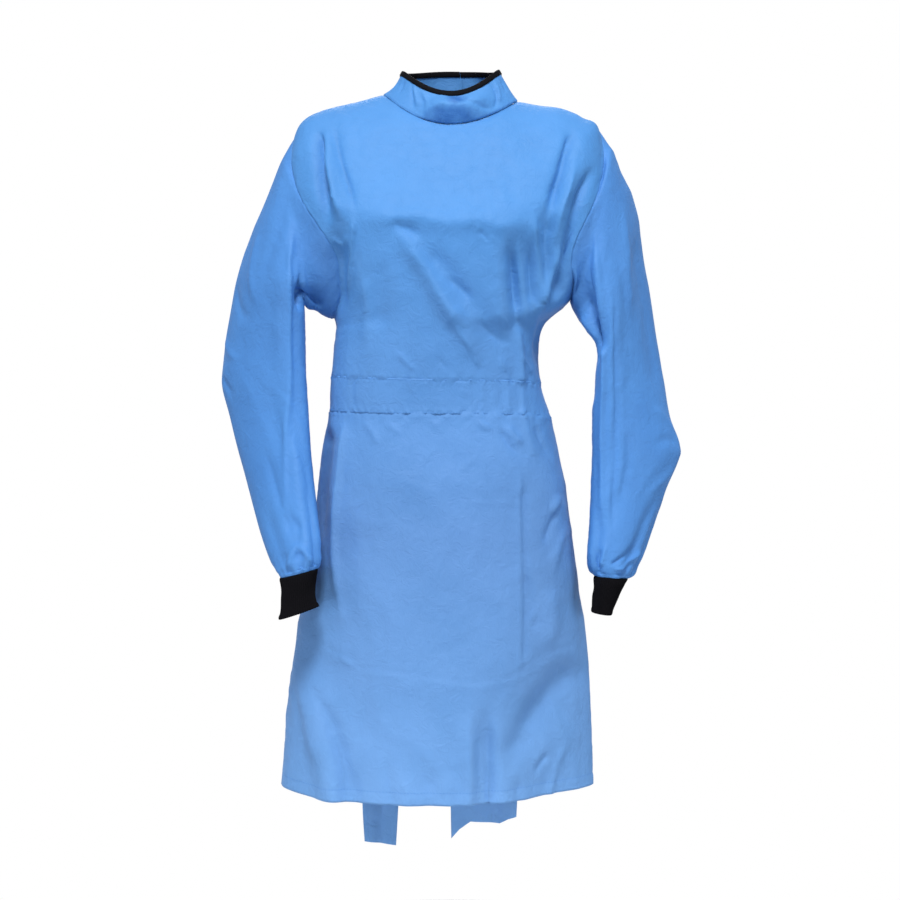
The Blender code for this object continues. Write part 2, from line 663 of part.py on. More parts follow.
def belt_piece(name, turns):
    """A stretch of the belt at the columns of the panel that it lies on, moved out."""
    places = belt_places(turns)
    turns = np.broadcast_to(turns, places.shape)
    points = body_points(places, turns)
    normals = normals_of(body_points, places, turns)
    points = points + normals * belt_standoff(turns)[..., None]
    return cloth_wall(name, points, normals, False, CLOTH)


def back_surface_y(x, z):
    """How far back the skirt reaches at points seen from behind. Below the hem it hangs on."""
    places = np.linspace(BELT_TOP, HEM, 60)
    heights = read_rows(BODY, places)[:, 7]
    place = np.interp(-z, -heights, places)
    rows = read_rows(BODY, place)
    middle, half = (rows[..., 0] + rows[..., 2]) / 2, (rows[..., 2] - rows[..., 0]) / 2
    share = np.clip((x - middle) / half, -0.95, 0.95)
    turn = 180 - np.degrees(np.arctan(share))
    for _ in range(6):
        found = ring_points(BODY, place, turn)[..., 0]
        turn = turn + (found - x) / half * 50
    return body_points(place, turn)[..., 1]


def strip_grid(rows, slant, crease):
    """A belt end that hangs down the back, as a grid of points and normals."""
    places = np.linspace(0, len(rows) - 1, (len(rows) - 1) * 2 + 1)
    table = read_rows(rows, places)
    shares = np.linspace(-1, 1, STRIP_COLUMNS + 1)
    z = table[:, 0:1] + slant * shares * ease((places[:, None] - len(rows) + 2.5) / 1.5)
    x = table[:, 1:2] + table[:, 2:3] * shares
    fold = table[:, 4:5] * np.exp(-(((shares - crease) / 0.4) ** 2))
    y = back_surface_y(x, z) + LAP_LIFT + WALL + table[:, 3:4] + fold
    points = np.stack([x, y, z], axis=-1)
    normals = unit(np.cross(np.gradient(points, axis=0), np.gradient(points, axis=1)))
    return points, normals * np.sign(normals[..., 1].sum())


def belt_end(name, rows, slant, crease):
    points, normals = strip_grid(rows, slant, crease)
    return cloth_wall(name, points, normals, False, CLOTH)


def knot():
    """The tied knot: a rounded lump, pinched where one end crosses over the other."""
    bpy.ops.mesh.primitive_uv_sphere_add(segments=20, ring_count=12, radius=1.0)
    obj = bpy.context.active_object
    obj.name = obj.data.name = "belt_knot"
    for vertex in obj.data.vertices:
        x, y, z = vertex.co
        crossing = math.exp(-(((x * 0.8 + z * 0.6) / 0.22) ** 2))
        size = 1 - 0.13 * crossing + 0.08 * math.exp(-(((x * 0.8 - z * 0.6) / 0.3) ** 2))
        square = (abs(x) ** 3 + abs(y) ** 3 + abs(z) ** 3) ** (-1 / 3)
        scale = size * square
        vertex.co = [axis * scale * half * MM for axis, half in zip((x, y, z), KNOT_SIZE)]
    obj.location = [value * MM for value in KNOT_MIDDLE]
    for collection in obj.users_collection:
        collection.objects.unlink(obj)
    GOWN.objects.link(obj)
    obj.data.shade_smooth()
    colour_object(obj, *CLOTH)
    return obj


for leftover in list(bpy.data.objects):
    bpy.data.objects.remove(leftover)
GOWN = bpy.data.collections.new("surgical_gown")
bpy.context.scene.collection.children.link(GOWN)
CLOTH = ("gown_cloth", BLUE, CLOTH_ROUGHNESS)
TRIM = ("black_trim", BLACK, TAPE_ROUGHNESS)
KNIT = ("black_knit", BLACK, KNIT_ROUGHNESS)

SLEEVES, CUFFS = {}, {}
SLEEVES[-1], CUFFS[-1] = sleeve_and_cuff(-1, LEFT_SLEEVE, LEFT_CUFF, LEFT_SLEEVE_FOLDS)
SLEEVES[1], CUFFS[1] = sleeve_and_cuff(1, RIGHT_SLEEVE, RIGHT_CUFF, RIGHT_SLEEVE_FOLDS)
front_panel()
back_panel(-1, "back_panel_under")
back_panel(1, "back_panel_over")
cloth_wall("sleeve_left", *SLEEVES[-1], True, CLOTH)
cloth_wall("sleeve_right", *SLEEVES[1], True, CLOTH)
cloth_wall("cuff_left", *CUFFS[-1], True, KNIT)
cloth_wall("cuff_right", *CUFFS[1], True, KNIT)
collar()
collar_binding()
fastening_tape("neck_tape_under", True)
fastening_tape("neck_tape_over", False)
belt_piece("belt_front", np.linspace(-90, 90, FRONT_COLUMNS + 1))
BELT_SHARES = np.append(np.arange(BACK_COLUMNS - 2), BACK_COLUMNS - 2.6) / BACK_COLUMNS
belt_piece("belt_back_left", back_turns(-1, (BELT_TOP + BELT_BOTTOM) / 2, BELT_SHARES))
belt_piece("belt_back_right", back_turns(1, (BELT_TOP + BELT_BOTTOM) / 2, BELT_SHARES))
belt_end("belt_end_left", LEFT_END, LEFT_END_SLANT, 0.0)
belt_end("belt_end_right", RIGHT_END, RIGHT_END_SLANT, 0.25)
knot()
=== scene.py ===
"""The surgical gown's cloth, knit and sewing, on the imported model's frame, with floor, light and camera.

The front faces -Y, +X is on the right of someone who faces the gown, and +Z is up. Tables are in
millimetres and degrees, and every mesh is written in metres.
"""

import math
from collections import namedtuple

import bmesh
import bpy
import numpy as np
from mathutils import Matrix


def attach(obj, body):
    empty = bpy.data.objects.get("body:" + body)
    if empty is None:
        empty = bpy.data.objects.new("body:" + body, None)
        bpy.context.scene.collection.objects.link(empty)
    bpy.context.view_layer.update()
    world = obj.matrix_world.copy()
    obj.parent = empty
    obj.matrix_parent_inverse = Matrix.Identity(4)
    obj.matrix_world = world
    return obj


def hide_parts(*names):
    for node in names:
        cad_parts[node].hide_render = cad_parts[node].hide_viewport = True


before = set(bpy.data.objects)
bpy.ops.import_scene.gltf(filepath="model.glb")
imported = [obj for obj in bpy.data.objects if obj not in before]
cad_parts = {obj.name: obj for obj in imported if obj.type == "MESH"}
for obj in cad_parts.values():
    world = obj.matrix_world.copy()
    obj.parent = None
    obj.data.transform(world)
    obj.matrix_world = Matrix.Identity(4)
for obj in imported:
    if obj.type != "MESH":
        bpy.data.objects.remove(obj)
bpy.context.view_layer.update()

MM = 0.001

# Front panel. One piece of blue poly-cotton from the neck and shoulder seams down to the hem, with an
# armhole cut into each side. It is sewn to the back panels, the sleeves, the collar and the belt, and
# its hem is turned up and stitched. Its cloth is crisp, so that press creases and folds stay in it.
CLOTH_THICKNESS = 0.55
HEM_TURN, TURNED_UP = 16.0, 0.35
BELT_EDGE_RISE, BELT_EDGE_REACH = 1.4, 11
HEM_STITCH, THREAD_SIDES = {"long": 3.0, "gap": 1.4}, 6
CLOTH_THREAD_MM, WAVES_PER_METRE = 0.9, 314.0
SLUB_STRETCH = (1400.0, 60.0, 1.0)
CLOTH_ROUGHNESS = (0.56, 0.68)
SHEEN_BLUE, WHITE = (0.35, 0.6, 1.0, 1.0), (1, 1, 1, 1)
# Heights of the painted light on the gown's cloth: its colour is darker at the top and plain below the end,
# so the skirt is painted lighter than the chest.
PAINTED_LIGHT_TOP_Z, PAINTED_LIGHT_MIDDLE, PAINTED_LIGHT_END_Z = -180.0, 0.55, -950.0
Ring = namedtuple(
    "Ring", "left_x left_z right_x right_z front_y front_z back_y back_z square dip", defaults=[2.0]
)
BODY = [
    Ring(-94, 8, 95, -2, -64, -44, 50, 14, 2.0),  # neck seam
    Ring(-122, 0, 124, -8, -76, -66, 66, -6, 2.1),
    Ring(-166, -11, 157, -14, -89, -94, 80, -34, 2.2),
    Ring(-200, -25, 185, -26, -99, -120, 90, -62, 2.3),
    Ring(-215, -48, 206, -38, -109, -143, 97, -90, 2.35),  # shoulder tips
    Ring(-223, -88, 216, -80, -119, -163, 102, -120, 2.45),
    Ring(-222, -135, 214, -130, -126, -184, 105, -155, 2.6),  # fullest chest
    Ring(-210, -185, 204, -180, -125, -215, 104, -195, 2.6),
    Ring(-190, -240, 188, -232, -121, -257, 101, -240, 2.5),
    Ring(-162, -305, 167, -279, -116, -306, 96, -300, 2.4),  # underarms
    Ring(-160, -328, 132, -313, -112, -331, 93, -328, 2.4),
    Ring(-162, -352, 124, -350, -109, -359, 89, -356, 2.4),
    Ring(-164, -385, 125, -395, -104, -393, 84, -390, 2.4),  # top of the belt
    Ring(-166, -410, 131, -419, -103, -417, 83, -414, 2.4),
    Ring(-167, -435, 138, -443, -104, -441, 85, -438, 2.4),  # bottom of the belt
    Ring(-177, -476, 148, -478, -111, -478, 98, -476, 2.4),
    Ring(-184, -530, 158, -530, -121, -530, 115, -530, 2.35),
    Ring(-191, -600, 167, -600, -129, -600, 127, -600, 2.3),
    Ring(-203, -680, 179, -680, -135, -680, 134, -680, 2.2),
    Ring(-215, -755, 191, -755, -140, -755, 139, -755, 2.1),
    Ring(-225, -825, 196, -825, -144, -825, 143, -825, 2.0),
    Ring(-231, -893, 199, -893, -147, -893, 147, -893, 1.95),
    Ring(-236, -955, 201, -955, -147, -958, 150, -955, 1.9),  # hem
]
SHOULDER_TIP, UNDERARM, BELT_TOP, BELT_BOTTOM, HEM = 4, 9, 12, 14, 22
FRONT_BITE, BACK_BITE = {-1: 42.0, 1: 36.0}, 28.0
ARMHOLE_LOW, ARMHOLE_FULL = 1.7, 0.6

# A fold runs over the cloth along (x, z) points. Height is outwards, crisp goes from 0, a soft wave,
# to 1, a pressed edge, lean makes one side steeper, and the fades are shares of the path.
Fold = namedtuple("Fold", "path width height fade_in fade_out crisp lean", defaults=[0.0, 0.0])
FRONT_FOLDS = [
    Fold([(-168, -46), (-158, -120), (-146, -165), (-143, -190)], 9, 6.0, 0.2, 0.2),
    Fold([(-150, -178), (-154, -240), (-163, -312)], 18, -15.0, 0.4, 0.3),
    Fold([(93, -184), (97, -250), (106, -335)], 16, -12.0, 0.3, 0.5),
    Fold([(-182, -44), (-177, -90), (-172, -130), (-167, -165), (-168, -205)], 8, -8.5, 0.2, 0.3),
    Fold([(172, -46), (153, -108), (141, -148), (132, -182)], 8, -7.5, 0.2, 0.3),
    Fold([(131, -150), (133, -200), (137, -245), (133, -300)], 13, -15.0, 0.4, 0.4),
    Fold([(202, -92), (181, -139), (171, -173), (162, -215), (148, -290)], 9, -9.0, 0.25, 0.2),
    Fold([(78, -200), (85, -250), (95, -345)], 12, -11.0, 0.3, 0.4),
    Fold([(107, -194), (113, -250), (123, -330)], 10, -12.0, 0.35, 0.4),
    Fold([(-76, -186), (-20, -268), (42, -372)], 14, 6.2, 0.25, 0.2),
    Fold([(-46, -202), (0, -262), (42, -318), (82, -366)], 16, -3.0, 0.25, 0.25),
    Fold([(-206, -760), (-172, -835), (-152, -960)], 23, 17.0, 0.5, 0.0),
    Fold([(-190, -800), (-152, -860), (-130, -960)], 12, -5.0, 0.5, 0.0),
    Fold([(50, -800), (52, -880), (52, -960)], 11, -8.0, 0.5, 0.0),
    Fold([(26, -790), (24, -880), (22, -960)], 12, 4.0, 0.5, 0.0),
    Fold([(150, -640), (146, -960)], 50, -24.0, 0.8, 0.0),
]
FRONT_CREASES = [
    # Break of the cloth across the chest, and the folds that run up from its two ends
    Fold(
        [(-124, -176), (-84, -180), (-44, -176), (-6, -186), (34, -183), (70, -190), (108, -184)],
        15, 2.2, 0.2, 0.2, 0.12,
    ),
    Fold([(-163, -40), (-149, -99), (-136, -139), (-129, -173)], 4.5, -3.8, 0.2, 0.2, 0.8, 0.4),
    Fold([(-166, -75), (-160, -120), (-152, -165), (-147, -185)], 8, 3.0, 0.3, 0.3, 0.3),
    Fold([(-181, -46), (-175, -100), (-171, -140), (-168, -172)], 5, -3.6, 0.2, 0.3, 0.6),
    Fold([(-127, -172), (-129, -200), (-137, -245), (-146, -292)], 5.5, 4.0, 0.2, 0.3, 0.9, -0.4),
    Fold([(-166, -200), (-150, -212), (-134, -200)], 5, 2.0, 0.3, 0.3, 0.7),
    Fold([(-170, -154), (-150, -147)], 4, 1.4, 0.3, 0.4, 0.5),
    Fold([(171, -50), (153, -116), (140, -156), (130, -186)], 5, -3.4, 0.2, 0.35, 0.6, -0.4),
    Fold([(172, -92), (160, -135), (146, -180), (141, -230)], 8, 3.2, 0.3, 0.3, 0.3),
    Fold([(113, -170), (116, -205), (124, -245)], 5.5, 2.4, 0.35, 0.4, 0.6, -0.4),
    Fold(
        [(199, -101), (181, -139), (171, -173), (164, -206), (152, -267), (144, -292)],
        5, -3.6, 0.2, 0.2, 0.7,
    ),
    Fold([(154, -210), (141, -258), (126, -300)], 7, 2.8, 0.3, 0.3, 0.5),
    # Drapes under the chest
    Fold([(76, -202), (84, -240), (92, -290), (97, -336)], 8, -2.4, 0.3, 0.4, 0.1),
    Fold([(110, -200), (114, -240), (121, -300)], 7, -2.6, 0.3, 0.4, 0.1),
    Fold([(91, -205), (98, -250), (104, -302)], 5, 1.6, 0.2, 0.4, 0.4),
    Fold([(-66, -206), (-36, -242), (-8, -285), (18, -330)], 13, 1.8, 0.3, 0.2, 0.2),
    Fold([(-8, -300), (12, -334), (26, -352), (34, -368), (42, -382)], 3.2, 2.0, 0.5, 0.15, 0.9, 0.5),
    Fold([(-32, -266), (0, -304), (18, -330)], 12, 1.8, 0.3, 0.3, 0.2),
    Fold([(-60, -200), (-36, -222), (0, -250), (44, -304), (86, -356)], 13, -1.1, 0.3, 0.3, 0.1),
    Fold([(-80, -187), (-52, -197), (-36, -210)], 9, -2.6, 0.25, 0.4, 0.3),
    Fold([(-8, -257), (14, -272), (32, -292)], 7, -1.9, 0.3, 0.4, 0.3),
    Fold([(32, -190), (48, -200), (60, -214)], 3, 1.5, 0.3, 0.3, 0.8),
    Fold([(38, -194), (54, -208)], 5, -1.6, 0.3, 0.3, 0.3),
    Fold([(34, -312), (62, -336), (90, -348)], 5, -1.3, 0.3, 0.4, 0.4),
    Fold([(60, -300), (84, -328)], 5, 1.2, 0.3, 0.4, 0.4),
    Fold([(-96, -226), (-92, -280), (-96, -340)], 13, -1.5, 0.3, 0.3),
    Fold([(-118, -250), (-112, -300), (-116, -350)], 10, 1.4, 0.3, 0.3, 0.2),
    Fold([(92, -312), (94, -350), (96, -392)], 7, 3.4, 0.3, 0.0, 0.6),
    Fold([(160, -236), (140, -286), (124, -330), (120, -380)], 9, -4.0, 0.25, 0.3, 0.3, 0.3),
    Fold([(98, -440), (104, -470), (116, -510)], 8, 2.2, 0.0, 0.5, 0.5),
    # Wrinkles round the belt
    Fold([(-76, -352), (-58, -372), (-44, -384)], 4, 1.3, 0.4, 0.2, 0.5),
    Fold([(-20, -360), (-2, -384)], 4, -1.1, 0.4, 0.2, 0.4),
    Fold([(66, -362), (74, -384)], 4, 1.4, 0.4, 0.2, 0.5),
    Fold([(90, -356), (104, -372), (112, -386)], 4, 1.6, 0.4, 0.2, 0.5),
    Fold([(34, -447), (44, -456), (58, -462)], 5, 2.0, 0.3, 0.4, 0.4),
    Fold([(74, -452), (86, -470), (100, -484)], 6, 2.6, 0.3, 0.4, 0.4),
    Fold([(64, -455), (78, -480), (96, -500)], 5, -1.8, 0.3, 0.4, 0.3),
    Fold([(-30, -446), (-14, -460)], 4, 1.2, 0.3, 0.4, 0.4),
    Fold([(-120, -446), (-104, -466), (-94, -488)], 5, 1.3, 0.3, 0.4, 0.4),
    Fold([(-86, -450), (-64, -470)], 4, 1.0, 0.3, 0.4, 0.4),
    Fold([(8, -520), (26, -506), (42, -494)], 3, 1.2, 0.4, 0.4, 0.6),
    Fold([(112, -450), (124, -480), (140, -505)], 6, -2.2, 0.3, 0.4, 0.4),
    # Press creases, where the gown was folded flat
    Fold([(93, -505), (93, -640), (94, -785)], 4.5, 1.7, 0.12, 0.06, 1.0, 0.5),
    Fold([(100, -515), (100, -640), (100, -780)], 6, -1.9, 0.15, 0.1, 0.4),
    Fold([(12, -559), (93, -560)], 3, 0.8, 0.3, 0.1, 0.9),
    Fold(
        [(-190, -740), (-131, -769), (-119, -779), (-44, -785), (24, -795), (87, -787), (115, -769),
         (159, -758), (188, -754)],
        2.2, -0.55, 0.05, 0.05, 0.9, 0.3,
    ),
    Fold(
        [(-188, -750), (-131, -778), (-44, -793), (24, -803), (87, -795), (160, -766)],
        6, 0.3, 0.1, 0.1, 0.3,
    ),
    Fold([(-150, -762), (-132, -774), (-124, -768)], 4, 1.6, 0.3, 0.3, 0.7),
    # Sides of the skirt
    Fold(
        [(-143, -446), (-150, -520), (-156, -600), (-150, -680), (-140, -740)],
        8, 4.4, 0.1, 0.35, 0.7, -0.3,
    ),
    Fold([(-168, -450), (-178, -540), (-184, -640)], 13, -4.2, 0.15, 0.3),
    Fold([(-140, -560), (-136, -640), (-134, -720)], 14, -1.4, 0.3, 0.3),
    Fold([(150, -548), (134, -578)], 5, 2.2, 0.3, 0.4, 0.4),
    Fold([(146, -570), (134, -596), (124, -622)], 6, -2.4, 0.3, 0.4, 0.4),
    Fold([(158, -590), (142, -630), (136, -664)], 7, 2.0, 0.3, 0.4, 0.3),
    Fold([(104, -646), (108, -700), (112, -742)], 11, -2.0, 0.3, 0.3, 0.2),
    Fold([(136, -668), (140, -720), (134, -762)], 14, 2.6, 0.3, 0.3, 0.2),
    Fold([(100, -742), (112, -712), (122, -690)], 4, 1.2, 0.4, 0.4, 0.5),
    # Folds that run into the hem
    Fold(
        [(-188, -801), (-164, -837), (-148, -890), (-141, -925), (-139, -960)],
        7, -3.6, 0.35, 0.0, 0.5, 0.4,
    ),
    Fold([(-206, -800), (-186, -850), (-172, -925)], 15, 3.2, 0.3, 0.3, 0.1),
    Fold([(52, -842), (53, -900), (53, -960)], 3.5, -3.4, 0.35, 0.0, 0.9),
    Fold([(40, -842), (40, -900), (38, -960)], 7, -2.6, 0.35, 0.0, 0.3),
    Fold([(27, -830), (26, -900), (25, -960)], 5, 1.8, 0.4, 0.0, 0.6),
    Fold([(190, -778), (134, -832), (92, -884), (66, -920)], 25, -6.0, 0.15, 0.3, 0.1),
    Fold([(186, -850), (150, -890), (112, -935)], 30, 3.0, 0.35, 0.35, 0.0),
    Fold([(150, -896), (132, -912), (122, -930)], 6, -2.8, 0.4, 0.4, 0.4),
    Fold([(176, -880), (160, -912), (150, -958)], 8, 2.2, 0.4, 0.0, 0.2),
    Fold([(-86, -890), (-80, -925), (-76, -960)], 9, -1.6, 0.5, 0.0, 0.1),
    Fold([(-30, -900), (-28, -960)], 12, -2.0, 0.6, 0.0, 0.0),
    Fold([(-58, -905), (-54, -960)], 9, 1.2, 0.6, 0.0, 0.0),
    Fold([(-126, -905), (-124, -960)], 9, -1.2, 0.6, 0.0, 0.2),
    Fold([(-4, -905), (0, -960)], 10, 1.8, 0.6, 0.0, 0.0),
    Fold([(96, -920), (92, -960)], 8, -2.0, 0.6, 0.0, 0.0),
]
BACK_FOLDS = [
    Fold([(-168, -80), (-150, -150), (-146, -260)], 12, -6.0, 0.3, 0.3),
    Fold([(168, -74), (148, -150), (146, -260)], 12, -6.0, 0.3, 0.3),
    Fold([(-100, -250), (-92, -320), (-88, -384)], 12, 4.0, 0.3, 0.2),
    Fold([(62, -240), (58, -320), (54, -384)], 12, 4.0, 0.3, 0.2),
    Fold([(-110, -446), (-128, -640), (-140, -960)], 18, 8.0, 0.2, 0.0),
    Fold([(82, -446), (104, -640), (122, -960)], 18, 8.0, 0.2, 0.0),
    Fold([(-150, -470), (-176, -700), (-184, -960)], 13, -7.0, 0.2, 0.0),
    Fold([(120, -470), (146, -700), (158, -960)], 13, -7.0, 0.2, 0.0),
]
BACK_CREASES = [
    # Folds from the shoulders and the armholes
    Fold([(-152, -60), (-140, -110), (-134, -160)], 6, -3.0, 0.3, 0.4, 0.6, 0.3),
    Fold([(150, -56), (136, -110), (128, -165)], 6, -3.0, 0.3, 0.4, 0.6, -0.3),
    Fold([(-178, -90), (-170, -140), (-162, -200)], 7, 2.6, 0.3, 0.4, 0.4),
    Fold([(174, -84), (164, -140), (156, -200)], 7, 2.6, 0.3, 0.4, 0.4),
    Fold([(-150, -262), (-110, -300), (-60, -340), (-40, -384)], 8, 2.8, 0.3, 0.2, 0.4),
    Fold([(-140, -290), (-96, -330), (-56, -366)], 7, -2.4, 0.3, 0.3, 0.3),
    Fold([(148, -256), (104, -300), (50, -344), (26, -384)], 8, 2.8, 0.3, 0.2, 0.4),
    Fold([(140, -284), (96, -326), (44, -372)], 7, -2.6, 0.3, 0.3, 0.3),
    Fold([(-120, -190), (-70, -204), (-20, -200)], 12, -1.8, 0.3, 0.3, 0.2),
    Fold([(110, -186), (66, -206), (20, -204)], 12, -1.8, 0.3, 0.3, 0.2),
    # Gathers above and below the belt
    Fold([(-62, -330), (-58, -386)], 4, 2.0, 0.4, 0.1, 0.5),
    Fold([(-126, -340), (-120, -386)], 5, 2.2, 0.4, 0.1, 0.5),
    Fold([(26, -336), (22, -386)], 4, 2.0, 0.4, 0.1, 0.5),
    Fold([(88, -330), (84, -388)], 5, 2.4, 0.4, 0.1, 0.5),
    Fold([(-84, -444), (-90, -510), (-94, -600)], 6, -2.8, 0.1, 0.5, 0.4),
    Fold([(-60, -444), (-62, -500), (-66, -560)], 5, 2.2, 0.1, 0.5, 0.4),
    Fold([(30, -444), (34, -510), (40, -590)], 6, -2.6, 0.1, 0.5, 0.4),
    Fold([(58, -444), (66, -520), (76, -620)], 6, 2.4, 0.1, 0.5, 0.4),
    Fold([(-132, -450), (-146, -540), (-156, -660)], 7, 2.8, 0.1, 0.5, 0.4),
    Fold([(104, -450), (122, -540), (134, -660)], 7, 2.6, 0.1, 0.5, 0.4),
    # Press creases and the folds of the hem
    Fold([(-205, -742), (-120, -774), (-20, -790), (90, -780), (186, -752)], 3, -1.4, 0.05, 0.05, 0.9, 0.3),
    Fold([(-205, -750), (-120, -783), (-20, -799), (90, -789), (186, -760)], 6, 1.2, 0.05, 0.05, 0.3),
    Fold([(-104, -500), (-106, -640), (-108, -780)], 4.5, 1.5, 0.15, 0.1, 1.0, 0.4),
    Fold([(72, -600), (74, -700), (76, -785)], 4.5, 1.4, 0.2, 0.1, 1.0, -0.4),
    Fold([(-100, -700), (-96, -830), (-90, -960)], 14, -4.0, 0.4, 0.0, 0.1),
    Fold([(86, -700), (80, -830), (72, -960)], 14, -4.0, 0.4, 0.0, 0.1),
    Fold([(-52, -780), (-48, -870), (-46, -960)], 12, 3.4, 0.5, 0.0, 0.1),
    Fold([(28, -780), (26, -870), (24, -960)], 12, 3.2, 0.5, 0.0, 0.1),
    Fold([(-206, -820), (-200, -960)], 10, 3.0, 0.5, 0.0, 0.2),
    Fold([(180, -820), (178, -960)], 10, 3.0, 0.5, 0.0, 0.2),
]


def read_rows(rows, places):
    """The rows of a table, read between them along Catmull-Rom curves."""
    table = np.array(rows, float)
    last = len(table) - 1
    places = np.clip(np.asarray(places, float), 0, last)
    first = np.minimum(places.astype(int), last - 1)
    part = (places - first).reshape(places.shape + (1,) * (table.ndim - 1))
    before, start = table[np.maximum(first - 1, 0)], table[first]
    end, after = table[first + 1], table[np.minimum(first + 2, last)]
    slope = (end - before) * part
    bend = (2 * before - 5 * start + 4 * end - after) * part**2
    twist = (3 * start - 3 * end + after - before) * part**3
    return start + 0.5 * (slope + bend + twist)


def ease(share):
    """Rises smoothly from 0 to 1."""
    share = np.clip(share, 0, 1)
    return share * share * (3 - 2 * share)


def unit(vectors):
    return vectors / np.maximum(np.linalg.norm(vectors, axis=-1, keepdims=True), 1e-9)


def ring_points(rings, places, turns):
    """Points on a stack of rings. A turn is in degrees from the centre front, towards +X."""
    columns = dict(zip(Ring._fields, np.moveaxis(read_rows(rings, places), -1, 0)))
    across, ahead = np.sin(np.radians(turns)), np.cos(np.radians(turns))
    square = columns["square"]
    reach = (np.abs(across) ** square + np.abs(ahead) ** square) ** (-1 / square)
    middle = (columns["left_x"] + columns["right_x"]) / 2
    half = (columns["right_x"] - columns["left_x"]) / 2
    side_z = np.where(across > 0, columns["right_z"], columns["left_z"])
    end_y = np.where(ahead > 0, columns["front_y"], columns["back_y"])
    end_z = np.where(ahead > 0, columns["front_z"], columns["back_z"])
    x = middle + half * reach * across
    y = end_y * reach * np.abs(ahead)
    z = side_z + (end_z - side_z) * np.abs(ahead) ** columns["dip"]
    return np.stack([x, y, z], axis=-1)


def smooth_path(path):
    """A path's points with the corners between them rounded."""
    if len(path) < 3:
        return np.array(path, float)
    return read_rows(path, np.linspace(0, len(path) - 1, 4 * (len(path) - 1) + 1))


def fold_height(fold, x, z):
    """How far a fold lifts the cloth at each point of a plane."""
    path = smooth_path(fold.path)
    reach = 3.2 * fold.width * (1 + abs(fold.lean))
    low, high = path.min(axis=0) - reach, path.max(axis=0) + reach
    near = (x > low[0]) & (x < high[0]) & (z > low[1]) & (z < high[1])
    height = np.zeros(np.shape(x))
    if not near.any():
        return height
    x, z = x[near], z[near]
    starts = along_line(path)
    nearest, along, side = np.full(x.shape, np.inf), np.zeros(x.shape), np.zeros(x.shape)
    for start, end, before in zip(path[:-1], path[1:], starts[:-1]):
        length = np.linalg.norm(end - start)
        step = (end - start) / length
        share = np.clip((x - start[0]) * step[0] + (z - start[1]) * step[1], 0, length)
        off_x, off_z = x - start[0] - share * step[0], z - start[1] - share * step[1]
        off = np.hypot(off_x, off_z)
        closer = off < nearest
        along = np.where(closer, (before + share) / starts[-1], along)
        side = np.where(closer, np.sign(step[0] * off_z - step[1] * off_x), side)
        nearest = np.minimum(nearest, off)
    rise = ease(along / fold.fade_in) if fold.fade_in else 1
    fall = ease((1 - along) / fold.fade_out) if fold.fade_out else 1
    nearest = nearest / (fold.width * (1 + fold.lean * side))
    soft, hard = np.exp(-(nearest**2)), np.exp(-1.5 * np.sqrt(nearest**2 + 0.02))
    height[near] = fold.height * rise * fall * ((1 - fold.crisp) * soft + fold.crisp * hard)
    return height


def sharpened(creases, height=1.9, width=0.85):
    """Creases made taller and narrower by the same shares."""
    return [crease._replace(height=crease.height * height, width=crease.width * width) for crease in creases]


def body_points(places, turns, creased=True):
    """The gown's outer surface with its folds, and no lap at the back."""
    places, turns = np.broadcast_arrays(np.asarray(places, float), np.asarray(turns, float))
    points = ring_points(BODY, places, turns)
    sideways = ring_points(BODY, places, turns + 1.0) - ring_points(BODY, places, turns - 1.0)
    out = unit(np.stack([sideways[..., 1], -sideways[..., 0], 0 * places], axis=-1))
    ahead = np.cos(np.radians(turns))
    height = 0 * places
    front = FRONT_FOLDS + (sharpened(FRONT_CREASES) if creased else [])
    back = BACK_FOLDS + (sharpened(BACK_CREASES) if creased else [])
    for folds, facing in ((front, ahead), (back, -ahead)):
        near = ease((facing + 0.02) / 0.3)
        for fold in folds:
            height = height + near * fold_height(fold, points[..., 0], points[..., 2])
    return points + out * height[..., None]


def smooth_body(places, turns):
    """The gown's outer surface with its broad folds alone."""
    return body_points(places, turns, creased=False)


def middle_and_half(places):
    """The gown's middle and half its width, at places down it."""
    columns = np.moveaxis(read_rows(BODY, places), -1, 0)
    left, right = columns[Ring._fields.index("left_x")], columns[Ring._fields.index("right_x")]
    return (left + right) / 2, (right - left) / 2


def normals_of(surface, places, turns, place_step=0.04, turn_step=0.6):
    """Outward normals of a surface that is a function of place and turn."""
    down = surface(places + place_step, turns) - surface(places - place_step, turns)
    round_it = surface(places, turns + turn_step) - surface(places, turns - turn_step)
    return -unit(np.cross(round_it, down))


def grid_normals(points, closed=False):
    """Normals of a grid whose rows run down and whose columns run towards +X at the front."""
    down = np.gradient(points, axis=0)
    if closed:
        round_it = np.roll(points, -1, axis=1) - np.roll(points, 1, axis=1)
    else:
        round_it = np.gradient(points, axis=1)
    return -unit(np.cross(round_it, down))


def armhole_share(places):
    """How fully the armhole is open at a place, from 0 at its two ends to 1."""
    share = np.clip((np.asarray(places, float) - SHOULDER_TIP) / (UNDERARM - SHOULDER_TIP), 0, 1)
    return np.clip(np.sin(math.pi * share**ARMHOLE_LOW), 0, 1) ** ARMHOLE_FULL


def wander(values, seed, cycle=512):
    """Smooth random waves from -1 to 1 along a line, about one to each two units."""
    knots = np.random.default_rng(seed).uniform(-1, 1, cycle)
    first = np.floor(values).astype(int)
    share = ease(values - first)
    return knots[first % cycle] * (1 - share) + knots[(first + 1) % cycle] * share


def hills(x, z, seed, cycle=64):
    """Smooth random hills from -1 to 1 over a plane, about one to each two units."""
    knots = np.random.default_rng(seed).uniform(-1, 1, (cycle, cycle))
    column, row = np.floor(x).astype(int), np.floor(z).astype(int)
    across, down = ease(x - column), ease(z - row)
    left, right = column % cycle, (column + 1) % cycle
    near, far = (
        knots[left, line % cycle] * (1 - across) + knots[right, line % cycle] * across
        for line in (row, row + 1)
    )
    return near * (1 - down) + far * down


